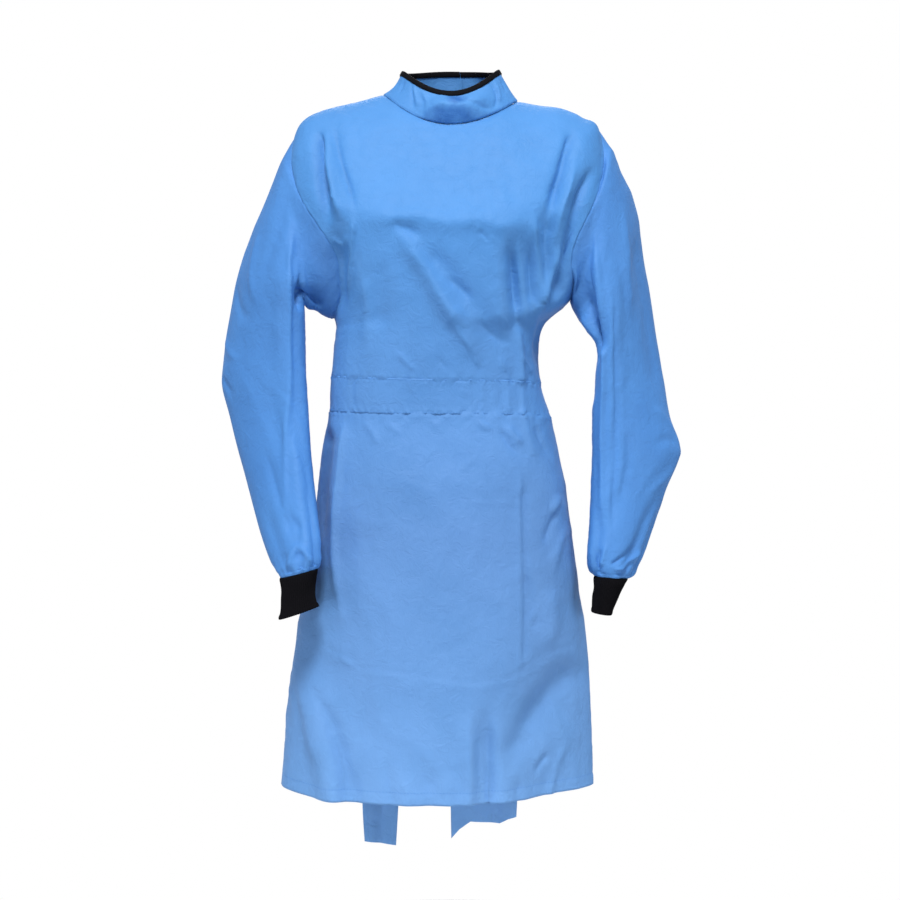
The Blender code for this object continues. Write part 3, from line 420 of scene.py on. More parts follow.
def relief(x, z, seed, most=1.0):
    """Small soft rumples of crisp cloth: low ridges that meet at angles, in three sizes."""
    warp = 14 * hills(x / 60, z / 60, seed + 1), 14 * hills(x / 60, z / 60, seed + 2)
    x, z = x + warp[0], z + warp[1]
    broad = 1.5 * hills(x / 75, z / 120, seed + 3)
    middle = 1.0 * (1 - 2 * np.abs(hills(x / 46 + z / 150, z / 70, seed + 4)))
    fine = 0.32 * (1 - 2 * np.abs(hills(x / 20, z / 27 - x / 60, seed + 5)))
    return most * (broad + middle + fine)


def puckers(along, off, seed, size=5.5, reach=7.0, height=0.5, slant=0.5):
    """Small wrinkles that a row of stitches draws into the cloth on both sides of it."""
    broad = wander((along + slant * off) / size, seed)
    waves = broad + 0.6 * wander((along - slant * off) / size * 1.7, seed + 1)
    return height * waves * np.exp(-np.abs(off) / reach)


def seam_dip(distance, depth=0.8, width=1.8):
    """The groove of a seam, where the edge of the cloth turns in."""
    return -depth * np.exp(-((distance / width) ** 2))


def along_line(line):
    """Distances along a line of points, from its first point."""
    return np.concatenate([[0], np.cumsum(np.linalg.norm(np.diff(line, axis=0), axis=1))])


def lengths_along(points, axis):
    """Distances down the columns or along the rows of a grid, from its first point."""
    steps = np.linalg.norm(np.diff(points, axis=axis), axis=-1)
    start = np.zeros_like(np.take(steps, [0], axis=axis))
    return np.concatenate([start, np.cumsum(steps, axis=axis)], axis=axis)


def link(name, mesh, material, node=None):
    """Adds a piece to the scene, riding on the gown's one body, in place of its CAD node."""
    obj = bpy.data.objects.new(name, mesh)
    bpy.context.scene.collection.objects.link(obj)
    obj.data.materials.append(material)
    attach(obj, "root")
    if node:
        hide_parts(node)
    return obj


def grid_mesh(name, points, closed=False, inward=False):
    """A mesh of a grid of points in millimetres, with its arc lengths in metres as UVs."""
    rows, columns = points.shape[:2]
    ring = np.concatenate([points, points[:, :1]], axis=1) if closed else points
    u = lengths_along(ring, 1)
    u = (u - u[:, u.shape[1] // 2 : u.shape[1] // 2 + 1]) * MM
    v = lengths_along(ring, 0) * MM
    row, column = np.meshgrid(np.arange(rows - 1), np.arange(ring.shape[1] - 1), indexing="ij")
    above, below, after = row * columns, (row + 1) * columns, (column + 1) % columns
    quads = np.stack([above + column, below + column, below + after, above + after], axis=-1)
    places = [(row, column), (row + 1, column), (row + 1, column + 1), (row, column + 1)]
    uvs = np.stack([np.stack([u[r, c], v[r, c]], axis=-1) for r, c in places], axis=2)
    if inward:
        quads, uvs = quads[..., ::-1], uvs[:, :, ::-1]
    mesh = bpy.data.meshes.new(name)
    mesh.from_pydata((points.reshape(-1, 3) * MM).tolist(), [], quads.reshape(-1, 4).tolist())
    layer = mesh.uv_layers.new(name="cloth")
    layer.data.foreach_set("uv", uvs.reshape(-1).astype(np.float32))
    mesh.shade_smooth()
    return mesh


def sheet(name, points, material, slot, node, thickness=CLOTH_THICKNESS, **form):
    """A sheet with the form of a grid of points, and its thickness inwards from the face that shows."""
    obj = link(name, grid_mesh(name, points, **form), material, node)
    wall = obj.modifiers.new("Thickness", "SOLIDIFY")
    wall.thickness = thickness * MM
    wall.offset = -1
    return obj


def new_material(name):
    material = bpy.data.materials.new(name)
    material.use_nodes = True
    nodes, links = material.node_tree.nodes, material.node_tree.links
    return material, nodes, links, nodes["Principled BSDF"]


def add_node(nodes, links, kind, wired=(), **values):
    """A node whose sockets and settings are given by name, with other nodes' outputs wired into it."""
    node = nodes.new("ShaderNode" + kind)
    for key, value in values.items():
        if key in node.inputs:
            node.inputs[key].default_value = value
        else:
            setattr(node, key, value)
    for socket, output in dict(wired).items():
        links.new(output, node.inputs[socket])
    return node


def noise(nodes, links, place, **values):
    return add_node(nodes, links, "TexNoise", {"Vector": place}, **values).outputs["Fac"]


def added_share(nodes, links, height, share, base):
    """A share of one height, added to another."""
    node = add_node(nodes, links, "Math", {0: height, 2: base}, operation="MULTIPLY_ADD")
    node.inputs[1].default_value = share
    return node.outputs[0]


def colour_ramp(nodes, links, value, low, high):
    """Colours between two ends, each given as a position and a colour."""
    node = add_node(nodes, links, "ValToRGB", {0: value})
    for element, (position, colour) in zip(node.color_ramp.elements, (low, high)):
        element.position, element.color = position, colour
    return node


def tinted(nodes, links, colour, tint):
    """One colour multiplied by another."""
    node = add_node(nodes, links, "Mix", data_type="RGBA", blend_type="MULTIPLY")
    node.inputs[0].default_value = 1.0
    links.new(colour, node.inputs[6])
    links.new(tint, node.inputs[7])
    return node.outputs[2]


def weave(nodes, links, warp_mm, coordinates):
    """The height of a plain weave: two crossed sets of threads."""
    warp, weft = (
        add_node(
            nodes, links, "TexWave", {"Vector": coordinates},
            bands_direction=direction, Scale=WAVES_PER_METRE / warp_mm, Distortion=0.6, Detail=1.0,
        ).outputs["Fac"]
        for direction in ("X", "Y")
    )
    return add_node(nodes, links, "Math", {0: warp, 1: weft}, operation="MULTIPLY").outputs[0]


def cloth_uv(nodes, links):
    return add_node(nodes, links, "UVMap", uv_map="cloth").outputs[0]


def ranged(nodes, links, value, before, after):
    """A value moved from one range to another."""
    limits = dict(zip(("From Min", "From Max", "To Min", "To Max"), before + after))
    return add_node(nodes, links, "MapRange", {"Value": value}, **limits).outputs[0]


def blue_cloth(name, light, dark, rumple, high=WHITE, middle=WHITE):
    """Dyed poly-cotton: a fine plain weave with a slight satin sheen. Its colour is multiplied by a ramp on
    height, from the high colour at the top through the middle one to white: painted light, lighter and greyer
    lower down.
    """
    material, nodes, links, shader = new_material(name)
    uv = cloth_uv(nodes, links)
    place = add_node(nodes, links, "TexCoord").outputs["Object"]
    cloud = noise(nodes, links, place, Scale=9.0, Detail=4.0, Roughness=0.6)
    stretch = add_node(nodes, links, "Mapping", {"Vector": uv}, Scale=SLUB_STRETCH).outputs[0]
    slubs = noise(nodes, links, stretch, Scale=1.0, Detail=3.0, Roughness=0.7)
    threads = weave(nodes, links, CLOTH_THREAD_MM, uv)
    worn = added_share(nodes, links, threads, 0.12, added_share(nodes, links, slubs, 0.35, cloud))
    dyed = colour_ramp(nodes, links, worn, (0.4, dark), (1.05, light))
    # Painted light: the colour is darker high up and plain lower down, in place of light on the skirt.
    height = add_node(nodes, links, "SeparateXYZ", {0: place}).outputs["Z"]
    down = ranged(nodes, links, height, (PAINTED_LIGHT_TOP_Z * MM, PAINTED_LIGHT_END_Z * MM), (0.0, 1.0))
    fade = colour_ramp(nodes, links, down, (0.0, high), (1.0, WHITE))
    fade.color_ramp.elements.new(PAINTED_LIGHT_MIDDLE).color = middle
    links.new(tinted(nodes, links, dyed.outputs[0], fade.outputs[0]), shader.inputs["Base Color"])
    links.new(ranged(nodes, links, cloud, (0.3, 0.75), CLOTH_ROUGHNESS), shader.inputs["Roughness"])
    shader.inputs["Specular IOR Level"].default_value = 0.3
    shader.inputs["Sheen Weight"].default_value = 0.05
    shader.inputs["Sheen Roughness"].default_value = 0.4
    shader.inputs["Sheen Tint"].default_value = SHEEN_BLUE
    small = noise(nodes, links, place, Scale=60.0, Detail=5.0, Roughness=0.66, Distortion=0.8)
    rough = add_node(nodes, links, "Bump", {"Height": small}, Strength=rumple, Distance=2.2 * MM)
    woven = {"Height": threads, "Normal": rough.outputs[0]}
    fine = add_node(nodes, links, "Bump", woven, Strength=0.35, Distance=0.12 * MM)
    links.new(fine.outputs[0], shader.inputs["Normal"])
    return material


SLEEVE_CLOTH = blue_cloth(
    "gown_poly_cotton", light=(0.080, 0.262, 0.62, 1), dark=(0.062, 0.214, 0.54, 1), rumple=0.8
)
# The body's cloth is paler than the sleeves' and darkened towards the top. This is painted light that makes
# the skirt lighter and greyer lower down.
CLOTH = blue_cloth(
    "gown_poly_cotton_painted_light", light=(0.152, 0.338, 0.67, 1), dark=(0.115, 0.284, 0.58, 1), rumple=0.8,
    high=(0.54, 0.81, 0.93, 1), middle=(0.74, 0.77, 0.83, 1),
)
THREAD = blue_cloth("sewing_thread", light=(0.08, 0.26, 0.62, 1), dark=(0.055, 0.20, 0.50, 1), rumple=0.05)


def stitches(name, points, normals, long, gap, thick=0.42, thread=THREAD, slot="gown_cloth", lift=0.12):
    """A row of machine stitches along a line of points: short threads that dip in at both ends."""
    length = along_line(points)
    starts = np.arange(0.5, length[-1] - long, long + gap)
    shares = np.array([0.0, 0.12, 0.5, 0.88, 1.0])
    sizes = np.array([0.45, 0.9, 1.0, 0.9, 0.45])
    dips = np.array([-0.5, 0.0, 0.3, 0.0, -0.5]) * thick
    at = starts[:, None] + shares[None, :] * long
    middle = np.stack([np.interp(at, length, points[:, axis]) for axis in range(3)], axis=-1)
    out = unit(np.stack([np.interp(at, length, normals[:, axis]) for axis in range(3)], axis=-1))
    along = unit(middle[:, -1:] - middle[:, :1]) + 0 * middle
    side = unit(np.cross(along, out))
    middle = middle + out * (lift + dips[None, :, None])
    turns = np.radians(np.arange(THREAD_SIDES) * 360 / THREAD_SIDES)
    ring = side[..., None, :] * np.cos(turns)[:, None] + out[..., None, :] * np.sin(turns)[:, None]
    tube = middle[..., None, :] + ring * (thick / 2 * sizes)[None, :, None, None]
    corners = len(shares) * THREAD_SIDES
    quads = []
    for row in range(0, corners - THREAD_SIDES, THREAD_SIDES):
        for turn in range(THREAD_SIDES):
            after = (turn + 1) % THREAD_SIDES
            quads.append([row + turn, row + after, row + THREAD_SIDES + after, row + THREAD_SIDES + turn])
    ends = [list(range(THREAD_SIDES))[::-1], list(range(corners - THREAD_SIDES, corners))]
    firsts = range(0, len(starts) * corners, corners)
    kinds = quads, ends
    faces = [[first + corner for corner in face] for kind in kinds for first in firsts for face in kind]
    mesh = bpy.data.meshes.new(name)
    mesh.from_pydata((tube.reshape(-1, 3) * MM).tolist(), [], faces)
    mesh.uv_layers.new(name="cloth")
    mesh.shade_smooth()
    return link(name, mesh, thread)


def even_places(start, end, count, turn):
    """Places whose rows are evenly spaced down the gown at a turn."""
    fine = np.linspace(start, end, 600)
    line = ring_points(BODY, fine, np.full(fine.shape, float(turn)))
    length = along_line(line)
    return np.interp(np.linspace(0, length[-1], count), length, fine)


PANEL_ROWS, FRONT_COLUMNS, ROW_SPACING = 285, 158, 3.45
panel_places = even_places(0, HEM, PANEL_ROWS, 20)


def panel_points(places, shares):
    """The front panel's points. A share runs from -1 at its left edge to 1 at its right edge."""
    bite = np.where(shares < 0, FRONT_BITE[-1], FRONT_BITE[1])
    return body_points(places, shares * (90 - bite * armhole_share(places)))


def sewn_panel(points, places, seed):
    """Adds to a panel's form its rumples, the dips of its seams, the belt's puckers and the hem."""
    across, down = lengths_along(points, 1), lengths_along(points, 0)
    from_side = np.minimum(across, across[:, -1:] - across)
    from_hem = down[-1:] - down
    calm = ease(from_side / 12) * ease(down / 10)
    lift = relief(points[..., 0], points[..., 2], seed, most=1.3) * calm
    lift = lift + seam_dip(from_side) + seam_dip(down)
    lift = lift + puckers(down, from_side, seed + 10, size=7, reach=9, height=0.35)
    lift = lift + puckers(across, down, seed + 20, size=6, reach=7, height=0.3)
    for place, way, out in ((BELT_TOP, seed + 30, -1), (BELT_BOTTOM, seed + 40, 1)):
        edge = np.array([np.interp(place, places, column) for column in down.T])
        past = out * (down - edge)
        lift = lift + puckers(across, down - edge, way, size=5.6, reach=9, height=1.25)
        rise = BELT_EDGE_RISE + 0.6 * wander(across / 13, way + 7)
        lift = lift + rise * ease((past + 1.5) / 2.5) * np.exp(-np.maximum(past, 0) / BELT_EDGE_REACH)
    step = ease((HEM_TURN - from_hem) / 1.5)
    lift = lift + TURNED_UP * step + seam_dip(from_hem - HEM_TURN, depth=0.3, width=1.2)
    lift = lift + puckers(across, from_hem - HEM_TURN, seed + 50, size=8, reach=10, height=0.4, slant=0.8)
    return points + grid_normals(points) * lift[..., None]


places, shares = np.meshgrid(panel_places, np.linspace(-1, 1, FRONT_COLUMNS + 1), indexing="ij")
front_points = sewn_panel(panel_points(places, shares), panel_places, 100)
front = sheet("front_panel_cloth", front_points, CLOTH, "gown_cloth", "front_panel")

hem_row = PANEL_ROWS - 1 - int(round(HEM_TURN / ROW_SPACING))
front_normals = grid_normals(front_points)
stitches("front_hem_stitches", front_points[hem_row], front_normals[hem_row], **HEM_STITCH)

# Back panels. Two more pieces of the same cloth, each from a side seam to past the centre back, where
# the one on +X laps over the other from neck to hem. Their free edges are turned in and stitched.
LAP_HALF_AT_NECK, LAP_HALF_AT_HEM = 18.0, 62.0
LAP_LIFT_AT_NECK, LAP_LIFT = 5.2, 2.2
LIFT_STARTS, LIFT_ENDS = 125.0, 158.0
EDGE_TURN = 12.0
BACK_COLUMNS, EVENED = 88, 4
COLLAR = [
    BODY[0],
    Ring(-78, 20, 83, 15, -61, -20, 49, 32, 2.0, 2.2),
    Ring(-66, 41, 68, 43, -57, 3, 47, 51, 2.0, 2.0),
]


def lap_turn(places):
    """How far past the centre back each panel reaches, in degrees."""
    share = np.clip(np.asarray(places, float) / HEM, 0, 1)
    lap_half = LAP_HALF_AT_NECK + (LAP_HALF_AT_HEM - LAP_HALF_AT_NECK) * share
    return np.degrees(np.arctan(lap_half / middle_and_half(places)[1]))


def lap_lift(places, turns):
    """How far the upper back panel stands off the lower one."""
    most = LAP_LIFT + (LAP_LIFT_AT_NECK - LAP_LIFT) * (1 - ease(np.asarray(places, float) / 3))
    return most * ease((turns - LIFT_STARTS) / (LIFT_ENDS - LIFT_STARTS))


def collar_shape(places, turns):
    return ring_points(COLLAR, places, turns)


def neck_lift(places, normals, turns):
    """Turns a normal near the neck seam to the way that panel and collar can both move."""
    at_seam = np.zeros(np.shape(turns))
    panel = normals_of(smooth_body, at_seam, turns)
    stand = -normals_of(collar_shape, at_seam, turns)
    shared = (panel + stand) / (1 + np.sum(panel * stand, axis=-1, keepdims=True))
    return shared + (normals - shared) * ease(places)[..., None]


def lapped_points(places, turns):
    """The upper back panel's outer face."""
    way = neck_lift(places, normals_of(smooth_body, places, turns), turns)
    return body_points(places, turns) + way * lap_lift(places, turns)[..., None]


def back_turns(side, places, shares):
    """Turns across half of the back, from its side seam to its edge at the lap."""
    start = 90 + BACK_BITE * armhole_share(places)
    return side * (start + (180 + lap_turn(places) - start) * shares)


for side, name, surface, seed in ((-1, "under", body_points, 300), (1, "over", lapped_points, 400)):
    shares = np.linspace(0, 1, BACK_COLUMNS + 1)
    places, shares = np.meshgrid(panel_places, shares if side > 0 else shares[::-1], indexing="ij")
    points = surface(places, back_turns(side, places, shares))
    points = sewn_panel(points, panel_places, seed)
    across = lengths_along(points, 1)
    from_edge = across[:, -1:] - across if side > 0 else across
    turned = TURNED_UP * ease((EDGE_TURN - from_edge) / 1.5)
    turned = turned + seam_dip(from_edge - EDGE_TURN, depth=0.25, width=1.2)
    down = lengths_along(points, 0)
    turned = turned + puckers(down, from_edge - EDGE_TURN, seed + 60, size=8, reach=8, height=0.3)
    points = points + grid_normals(points) * turned[..., None]
    back = sheet(f"back_panel_{name}_cloth", points, CLOTH, "gown_cloth", f"back_panel_{name}")
    normals = grid_normals(points)
    stitches(f"back_{name}_hem_stitches", points[hem_row], normals[hem_row], **HEM_STITCH)
    line = [int(np.argmin(np.abs(row - EDGE_TURN))) for row in from_edge]
    rows = np.arange(len(line))
    edge = np.pad(points[rows, line], ((EVENED, EVENED), (0, 0)), "edge")
    mean = np.ones(2 * EVENED + 1) / (2 * EVENED + 1)
    even = np.stack([np.convolve(axis, mean, "valid") for axis in edge.T], axis=-1)
    stitches(f"back_{name}_edge_stitches", even, normals[rows, line], **HEM_STITCH)

# Sleeves. Each is one piece sewn into a tube with its seam underneath, set into the armhole and
# gathered into the cuff. The left one hangs a little forward, the right one has a sharp elbow.
Section = namedtuple("Section", "outer_x outer_z inner_x inner_z middle_y depth lean")
LEFT_SLEEVE = [
    Section(-235, -83, -174, -303, 2, 68, 8),
    Section(-256, -129, -189, -292, 4, 74, 18),
    Section(-279, -178, -199, -281, 6, 78, 30),
    Section(-302, -237, -201, -284, 8, 79, 38),
    Section(-314, -293, -201, -306, 9, 76, 42),
    Section(-323, -348, -200, -348, 8, 70, 44),
    Section(-325, -397, -197, -397, 4, 66, 44),
    Section(-311, -446, -194, -446, -4, 62, 42),
    Section(-289, -513, -189, -506, -26, 57, 38),
    Section(-264, -590, -179, -570, -58, 50, 32),
    Section(-246, -636, -174, -612, -84, 43, 26),
    Section(-234, -652, -176, -638, -96, 35, 20),
]
RIGHT_SLEEVE = [
    Section(228, -69, 171, -290, 2, 68, 8),
    Section(243, -99, 179, -308, 4, 73, 18),
    Section(258, -127, 189, -325, 6, 76, 28),
    Section(268, -160, 200, -344, 8, 77, 34),
    Section(275, -209, 203, -363, 9, 76, 38),
    Section(286, -267, 201, -384, 10, 72, 42),
    Section(295, -328, 200, -412, 10, 68, 44),
    Section(304, -384, 198, -434, 9, 64, 44),
    Section(313, -440, 197, -466, 6, 60, 42),
    Section(327, -491, 196, -512, 2, 57, 40),
    Section(303, -551, 193, -558, -10, 54, 36),
    Section(286, -595, 190, -599, -24, 50, 32),
    Section(268, -637, 187, -633, -36, 44, 28),
    Section(254, -656, 192, -652, -42, 36, 20),
]
LEFT_CUFF = [
    Section(-230, -661, -177, -647, -100, 31, 15),
    Section(-226, -690, -181, -678, -106, 27, 15),
    Section(-229, -716, -175, -697, -112, 28, 15),
]
RIGHT_CUFF = [
    Section(246, -665, 197, -661, -45, 31, 15),
    Section(232, -690, 196, -686, -49, 28, 15),
    Section(221, -715, 194, -710, -53, 27, 15),
]
# Broad folds along a sleeve: section numbers, turns round it (0 outside, 90 front, 180 inside, 270
# back), width in degrees and height outwards.
SleeveFold = namedtuple("SleeveFold", "start end turn_start turn_end width height")
LEFT_SLEEVE_FOLDS = [
    SleeveFold(0.3, 4.9, 142, 156, 12, -11.0),
    SleeveFold(1.0, 10.4, 118, 126, 14, 5.0),
    SleeveFold(9.6, 12.9, 100, 104, 15, -3.0),
    SleeveFold(9.4, 12.9, 60, 62, 13, -3.0),
    SleeveFold(8.8, 12.9, 145, 150, 12, -4.0),
    SleeveFold(0.6, 5.0, 214, 205, 16, -10.0),
    SleeveFold(9.0, 12.9, 232, 230, 14, -4.5),
    SleeveFold(9.0, 12.9, 290, 292, 14, -4.5),
    SleeveFold(5.2, 8.6, 330, 320, 16, -4.0),
]
RIGHT_SLEEVE_FOLDS = [
    SleeveFold(1.0, 5.6, 140, 150, 14, -13.0),
    SleeveFold(1.0, 12.2, 116, 124, 14, 5.0),
    SleeveFold(11.0, 14.9, 140, 136, 14, -5.0),
    SleeveFold(10.8, 14.9, 42, 76, 13, -5.0),
    SleeveFold(11.2, 14.9, 20, 26, 12, -3.5),
    SleeveFold(0.6, 5.4, 214, 205, 16, -10.0),
    SleeveFold(11.0, 14.9, 232, 230, 14, -4.5),
    SleeveFold(11.0, 14.9, 290, 292, 14, -4.5),
    SleeveFold(3.6, 8.4, 50, 44, 16, -4.0),
]
# Finer creases along a sleeve, with (turn, section) points and widths in millimetres
DEGREE_MM, SECTION_MM = 1.1, 48.0
LEFT_SLEEVE_CREASES = [
    Fold(
        [(80, 0.9), (100, 2.0), (122, 3.0), (130, 4.0), (134, 5.2), (132, 7.0), (124, 8.0), (110, 9.0),
         (88, 10.2)],
        7, 4.8, 0.15, 0.25, 0.8, 0.3,
    ),
    Fold([(110, 1.4), (126, 2.2), (141, 3.0), (149, 4.0), (152, 5.0)], 5.5, -5.5, 0.3, 0.3, 0.7, -0.3),
    Fold([(150, 0.5), (155, 2.5), (158, 4.6)], 7, -4.0, 0.3, 0.3, 0.5),
    Fold([(168, 1.6), (174, 2.8), (176, 3.8)], 9, 4.5, 0.3, 0.3, 0.4),
    Fold([(60, 1.0), (76, 2.6), (88, 4.4)], 10, -2.0, 0.3, 0.4, 0.2),
    Fold([(40, 2.6), (62, 4.0), (84, 5.0)], 8, 2.0, 0.3, 0.4, 0.4),
    Fold([(20, 4.2), (52, 5.0), (80, 5.3)], 8, -1.8, 0.3, 0.4, 0.3),
    Fold([(8, 5.6), (40, 6.1), (66, 6.4)], 7, 1.8, 0.3, 0.4, 0.4),
    Fold([(14, 6.7), (50, 7.4)], 7, -1.8, 0.3, 0.4, 0.3),
    Fold([(350, 5.8), (320, 6.2), (290, 6.0)], 8, -2.4, 0.3, 0.4, 0.4),
    Fold([(345, 6.8), (310, 7.2)], 7, 2.0, 0.3, 0.4, 0.4),
    Fold([(192, 6.5), (220, 6.7), (252, 6.4)], 8, -3.2, 0.3, 0.4, 0.5),
    Fold([(194, 7.3), (222, 7.6), (256, 7.3)], 8, 2.6, 0.3, 0.4, 0.5),
    Fold([(64, 12.3), (80, 11.4), (100, 10.9), (122, 11.3), (138, 12.3)], 9, 3.0, 0.25, 0.25, 0.1),
    Fold([(84, 10.4), (100, 10.1), (118, 10.5)], 9, -2.2, 0.3, 0.3, 0.1),
    Fold([(104, 12.0), (106, 12.7)], 7, 2.4, 0.4, 0.0, 0.2),
    Fold([(80, 8.6), (88, 10.0)], 8, -1.8, 0.4, 0.3, 0.2),
    Fold([(240, 1.0), (250, 4.0), (244, 7.0)], 9, 2.4, 0.3, 0.4, 0.4),
    Fold([(300, 1.4), (296, 3.6)], 9, -2.0, 0.3, 0.4, 0.3),
]
RIGHT_SLEEVE_CREASES = [
    Fold(
        [(96, 0.8), (110, 2.0), (130, 3.6), (140, 4.8), (141, 6.0), (141, 8.0), (142, 10.0), (127, 12.2)],
        9, 5.0, 0.12, 0.2, 0.5, -0.3,
    ),
    Fold([(118, 1.2), (132, 2.6), (144, 3.6), (151, 4.8), (152, 6.2)], 5.5, -5.0, 0.3, 0.3, 0.7),
    Fold(
        [(104, 3.4), (115, 4.8), (117, 7.0), (117, 8.4), (123, 10.0), (117, 11.0), (108, 12.4)],
        8, -3.4, 0.2, 0.2, 0.3,
    ),
    Fold([(142, 1.3), (147, 3.0), (151, 5.2)], 6, -4.5, 0.3, 0.3, 0.6),
    Fold([(166, 1.8), (164, 4.2)], 8, 3.0, 0.3, 0.3, 0.3),
    Fold([(140, 0.15), (150, 0.8), (158, 1.7)], 13, 3.2, 0.2, 0.4),
    Fold([(84, 1.4), (88, 4.0), (86, 6.4)], 9, -1.4, 0.3, 0.4, 0.2),
    Fold([(50, 2.2), (72, 4.0), (84, 6.4)], 10, 1.8, 0.3, 0.4, 0.2),
    Fold([(14, 9.5), (38, 9.0), (66, 8.6)], 7, 1.8, 0.3, 0.4, 0.6),
    Fold([(18, 9.8), (44, 9.6), (76, 9.7)], 7, -2.0, 0.3, 0.4, 0.4),
    Fold([(14, 10.3), (40, 10.6), (70, 11.0)], 7, 1.8, 0.3, 0.4, 0.6),
    Fold([(342, 9.8), (316, 9.7), (286, 9.9)], 8, -2.4, 0.3, 0.4, 0.5),
    Fold([(344, 9.3), (318, 8.8)], 8, 1.8, 0.3, 0.4, 0.4),
    Fold([(-34, 10.0), (0, 10.03), (34, 10.0)], 9, 1.2, 0.35, 0.35, 0.9),
    Fold([(196, 9.3), (222, 9.6), (256, 9.3)], 8, -3.0, 0.3, 0.4, 0.5),
    Fold([(196, 10.2), (224, 10.4), (256, 10.2)], 8, 2.4, 0.3, 0.4, 0.5),
    Fold([(104, 9.0), (106, 11.6)], 8, -1.8, 0.3, 0.4, 0.3),
    Fold([(30, 12.7), (58, 13.2), (94, 13.9)], 6, 3.6, 0.2, 0.2, 0.5),
    Fold([(46, 12.4), (76, 12.9), (104, 13.5)], 6, -3.0, 0.3, 0.2, 0.3),
    Fold([(130, 12.6), (136, 13.3), (132, 14.0)], 6, -3.4, 0.2, 0.2, 0.5),
    Fold([(118, 12.4), (122, 13.6)], 6, 2.4, 0.3, 0.2, 0.4),
    Fold([(240, 1.0), (250, 4.0), (244, 8.0)], 9, 2.4, 0.3, 0.4, 0.4),
    Fold([(300, 1.4), (296, 4.6)], 9, -2.0, 0.3, 0.4, 0.3),
]
SLEEVE_COLUMNS, SLEEVE_ROWS = 132, 198
UNDER_SEAM_TURN, ALLOWANCE = 186, 1.5
GATHERS, GATHER_HEIGHT, GATHER_REACH = 17, 2.4, 26
BLOUSE_HEIGHT, BLOUSE_AT, BLOUSE_WIDTH = 2.0, 13, 9


def armhole_points(side, turns, under=0.0):
    """Points of the armhole seam, or some degrees under the panels, at turns round the sleeve: down its
    front and up its back."""
    places = np.linspace(SHOULDER_TIP, UNDERARM, 500)
    share = armhole_share(places)
    halves = []
    for edge in (90 - FRONT_BITE[side] * share - under, (90 + BACK_BITE * share + under)):
        line = body_points(places, side * edge)
        length = along_line(line)
        halves.append((line, length / length[-1]))
    found = []
    for turn in turns:
        line, length = halves[0] if turn <= 180 else halves[1]
        at = turn / 180 if turn <= 180 else (360 - turn) / 180
        found.append([np.interp(at, length, line[:, axis]) for axis in range(3)])
    return np.array(found)


def sleeve_ring(section, turns):
    """Points of one section, at turns from its outermost point over its front."""
    turn = np.radians(turns)
    middle_x, middle_z = (section.outer_x + section.inner_x) / 2, (section.outer_z + section.inner_z) / 2
    half_x, half_z = (section.outer_x - section.inner_x) / 2, (section.outer_z - section.inner_z) / 2
    x = middle_x + half_x * np.cos(turn)
    y = section.middle_y - section.depth * np.sin(turn - math.radians(section.lean))
    z = middle_z + half_z * np.cos(turn)
    return np.stack([x, y, z], axis=-1)


def tube_normals(points):
    """Outward normals of a tube of rings."""
    normals = grid_normals(points, closed=True)
    outward = points - points.mean(axis=1, keepdims=True)
    return normals * np.sign(np.sum(normals * outward))


def sleeve_fold_lift(folds, sections, turns):
    lift = 0 * sections
    for fold in folds:
        share = (sections - fold.start) / (fold.end - fold.start)
        turn = fold.turn_start + (fold.turn_end - fold.turn_start) * np.clip(share, 0, 1)
        off = (turns - turn + 180) % 360 - 180
        fade = ease(share / 0.25) * ease((1 - share) / 0.15)
        lift = lift + fold.height * np.exp(-((off / fold.width) ** 2)) * fade
    return lift


def sleeve_crease_lift(creases, sections, turns):
    """Lift of the finer creases, on a plane that is the sleeve unrolled."""
    lift = 0 * sections
    for crease in creases:
        path = [(turn * DEGREE_MM, section * SECTION_MM) for turn, section in crease.path]
        crease = sharpened([crease], 1.6, 0.9)[0]
        crease = crease._replace(path=path)
        for lap in (-360, 0, 360):
            lift = lift + fold_height(crease, (turns + lap) * DEGREE_MM, sections * SECTION_MM)
    return lift


def cuff_tube(side, sleeve, cuff, folds, turns, rows):
    """Points of the tube that the sleeve and its cuff make, at rows of section numbers."""
    rings = [armhole_points(side, turns)] + [sleeve_ring(section, turns) for section in sleeve + cuff]
    points = read_rows(rings, rows)
    lift = sleeve_fold_lift(folds, *np.meshgrid(rows, turns, indexing="ij"))
    return points + tube_normals(points) * lift[..., None]


def gathers(turns, seed):
    """Uneven pleats all round, where a sleeve is gathered into its cuff."""
    warped = turns / 360 * GATHERS + 0.5 * np.sin(np.radians(turns * 2 + seed))
    return 1.5 * wander(warped, seed, GATHERS) + 0.7 * wander(warped * 2, seed + 1, 2 * GATHERS)


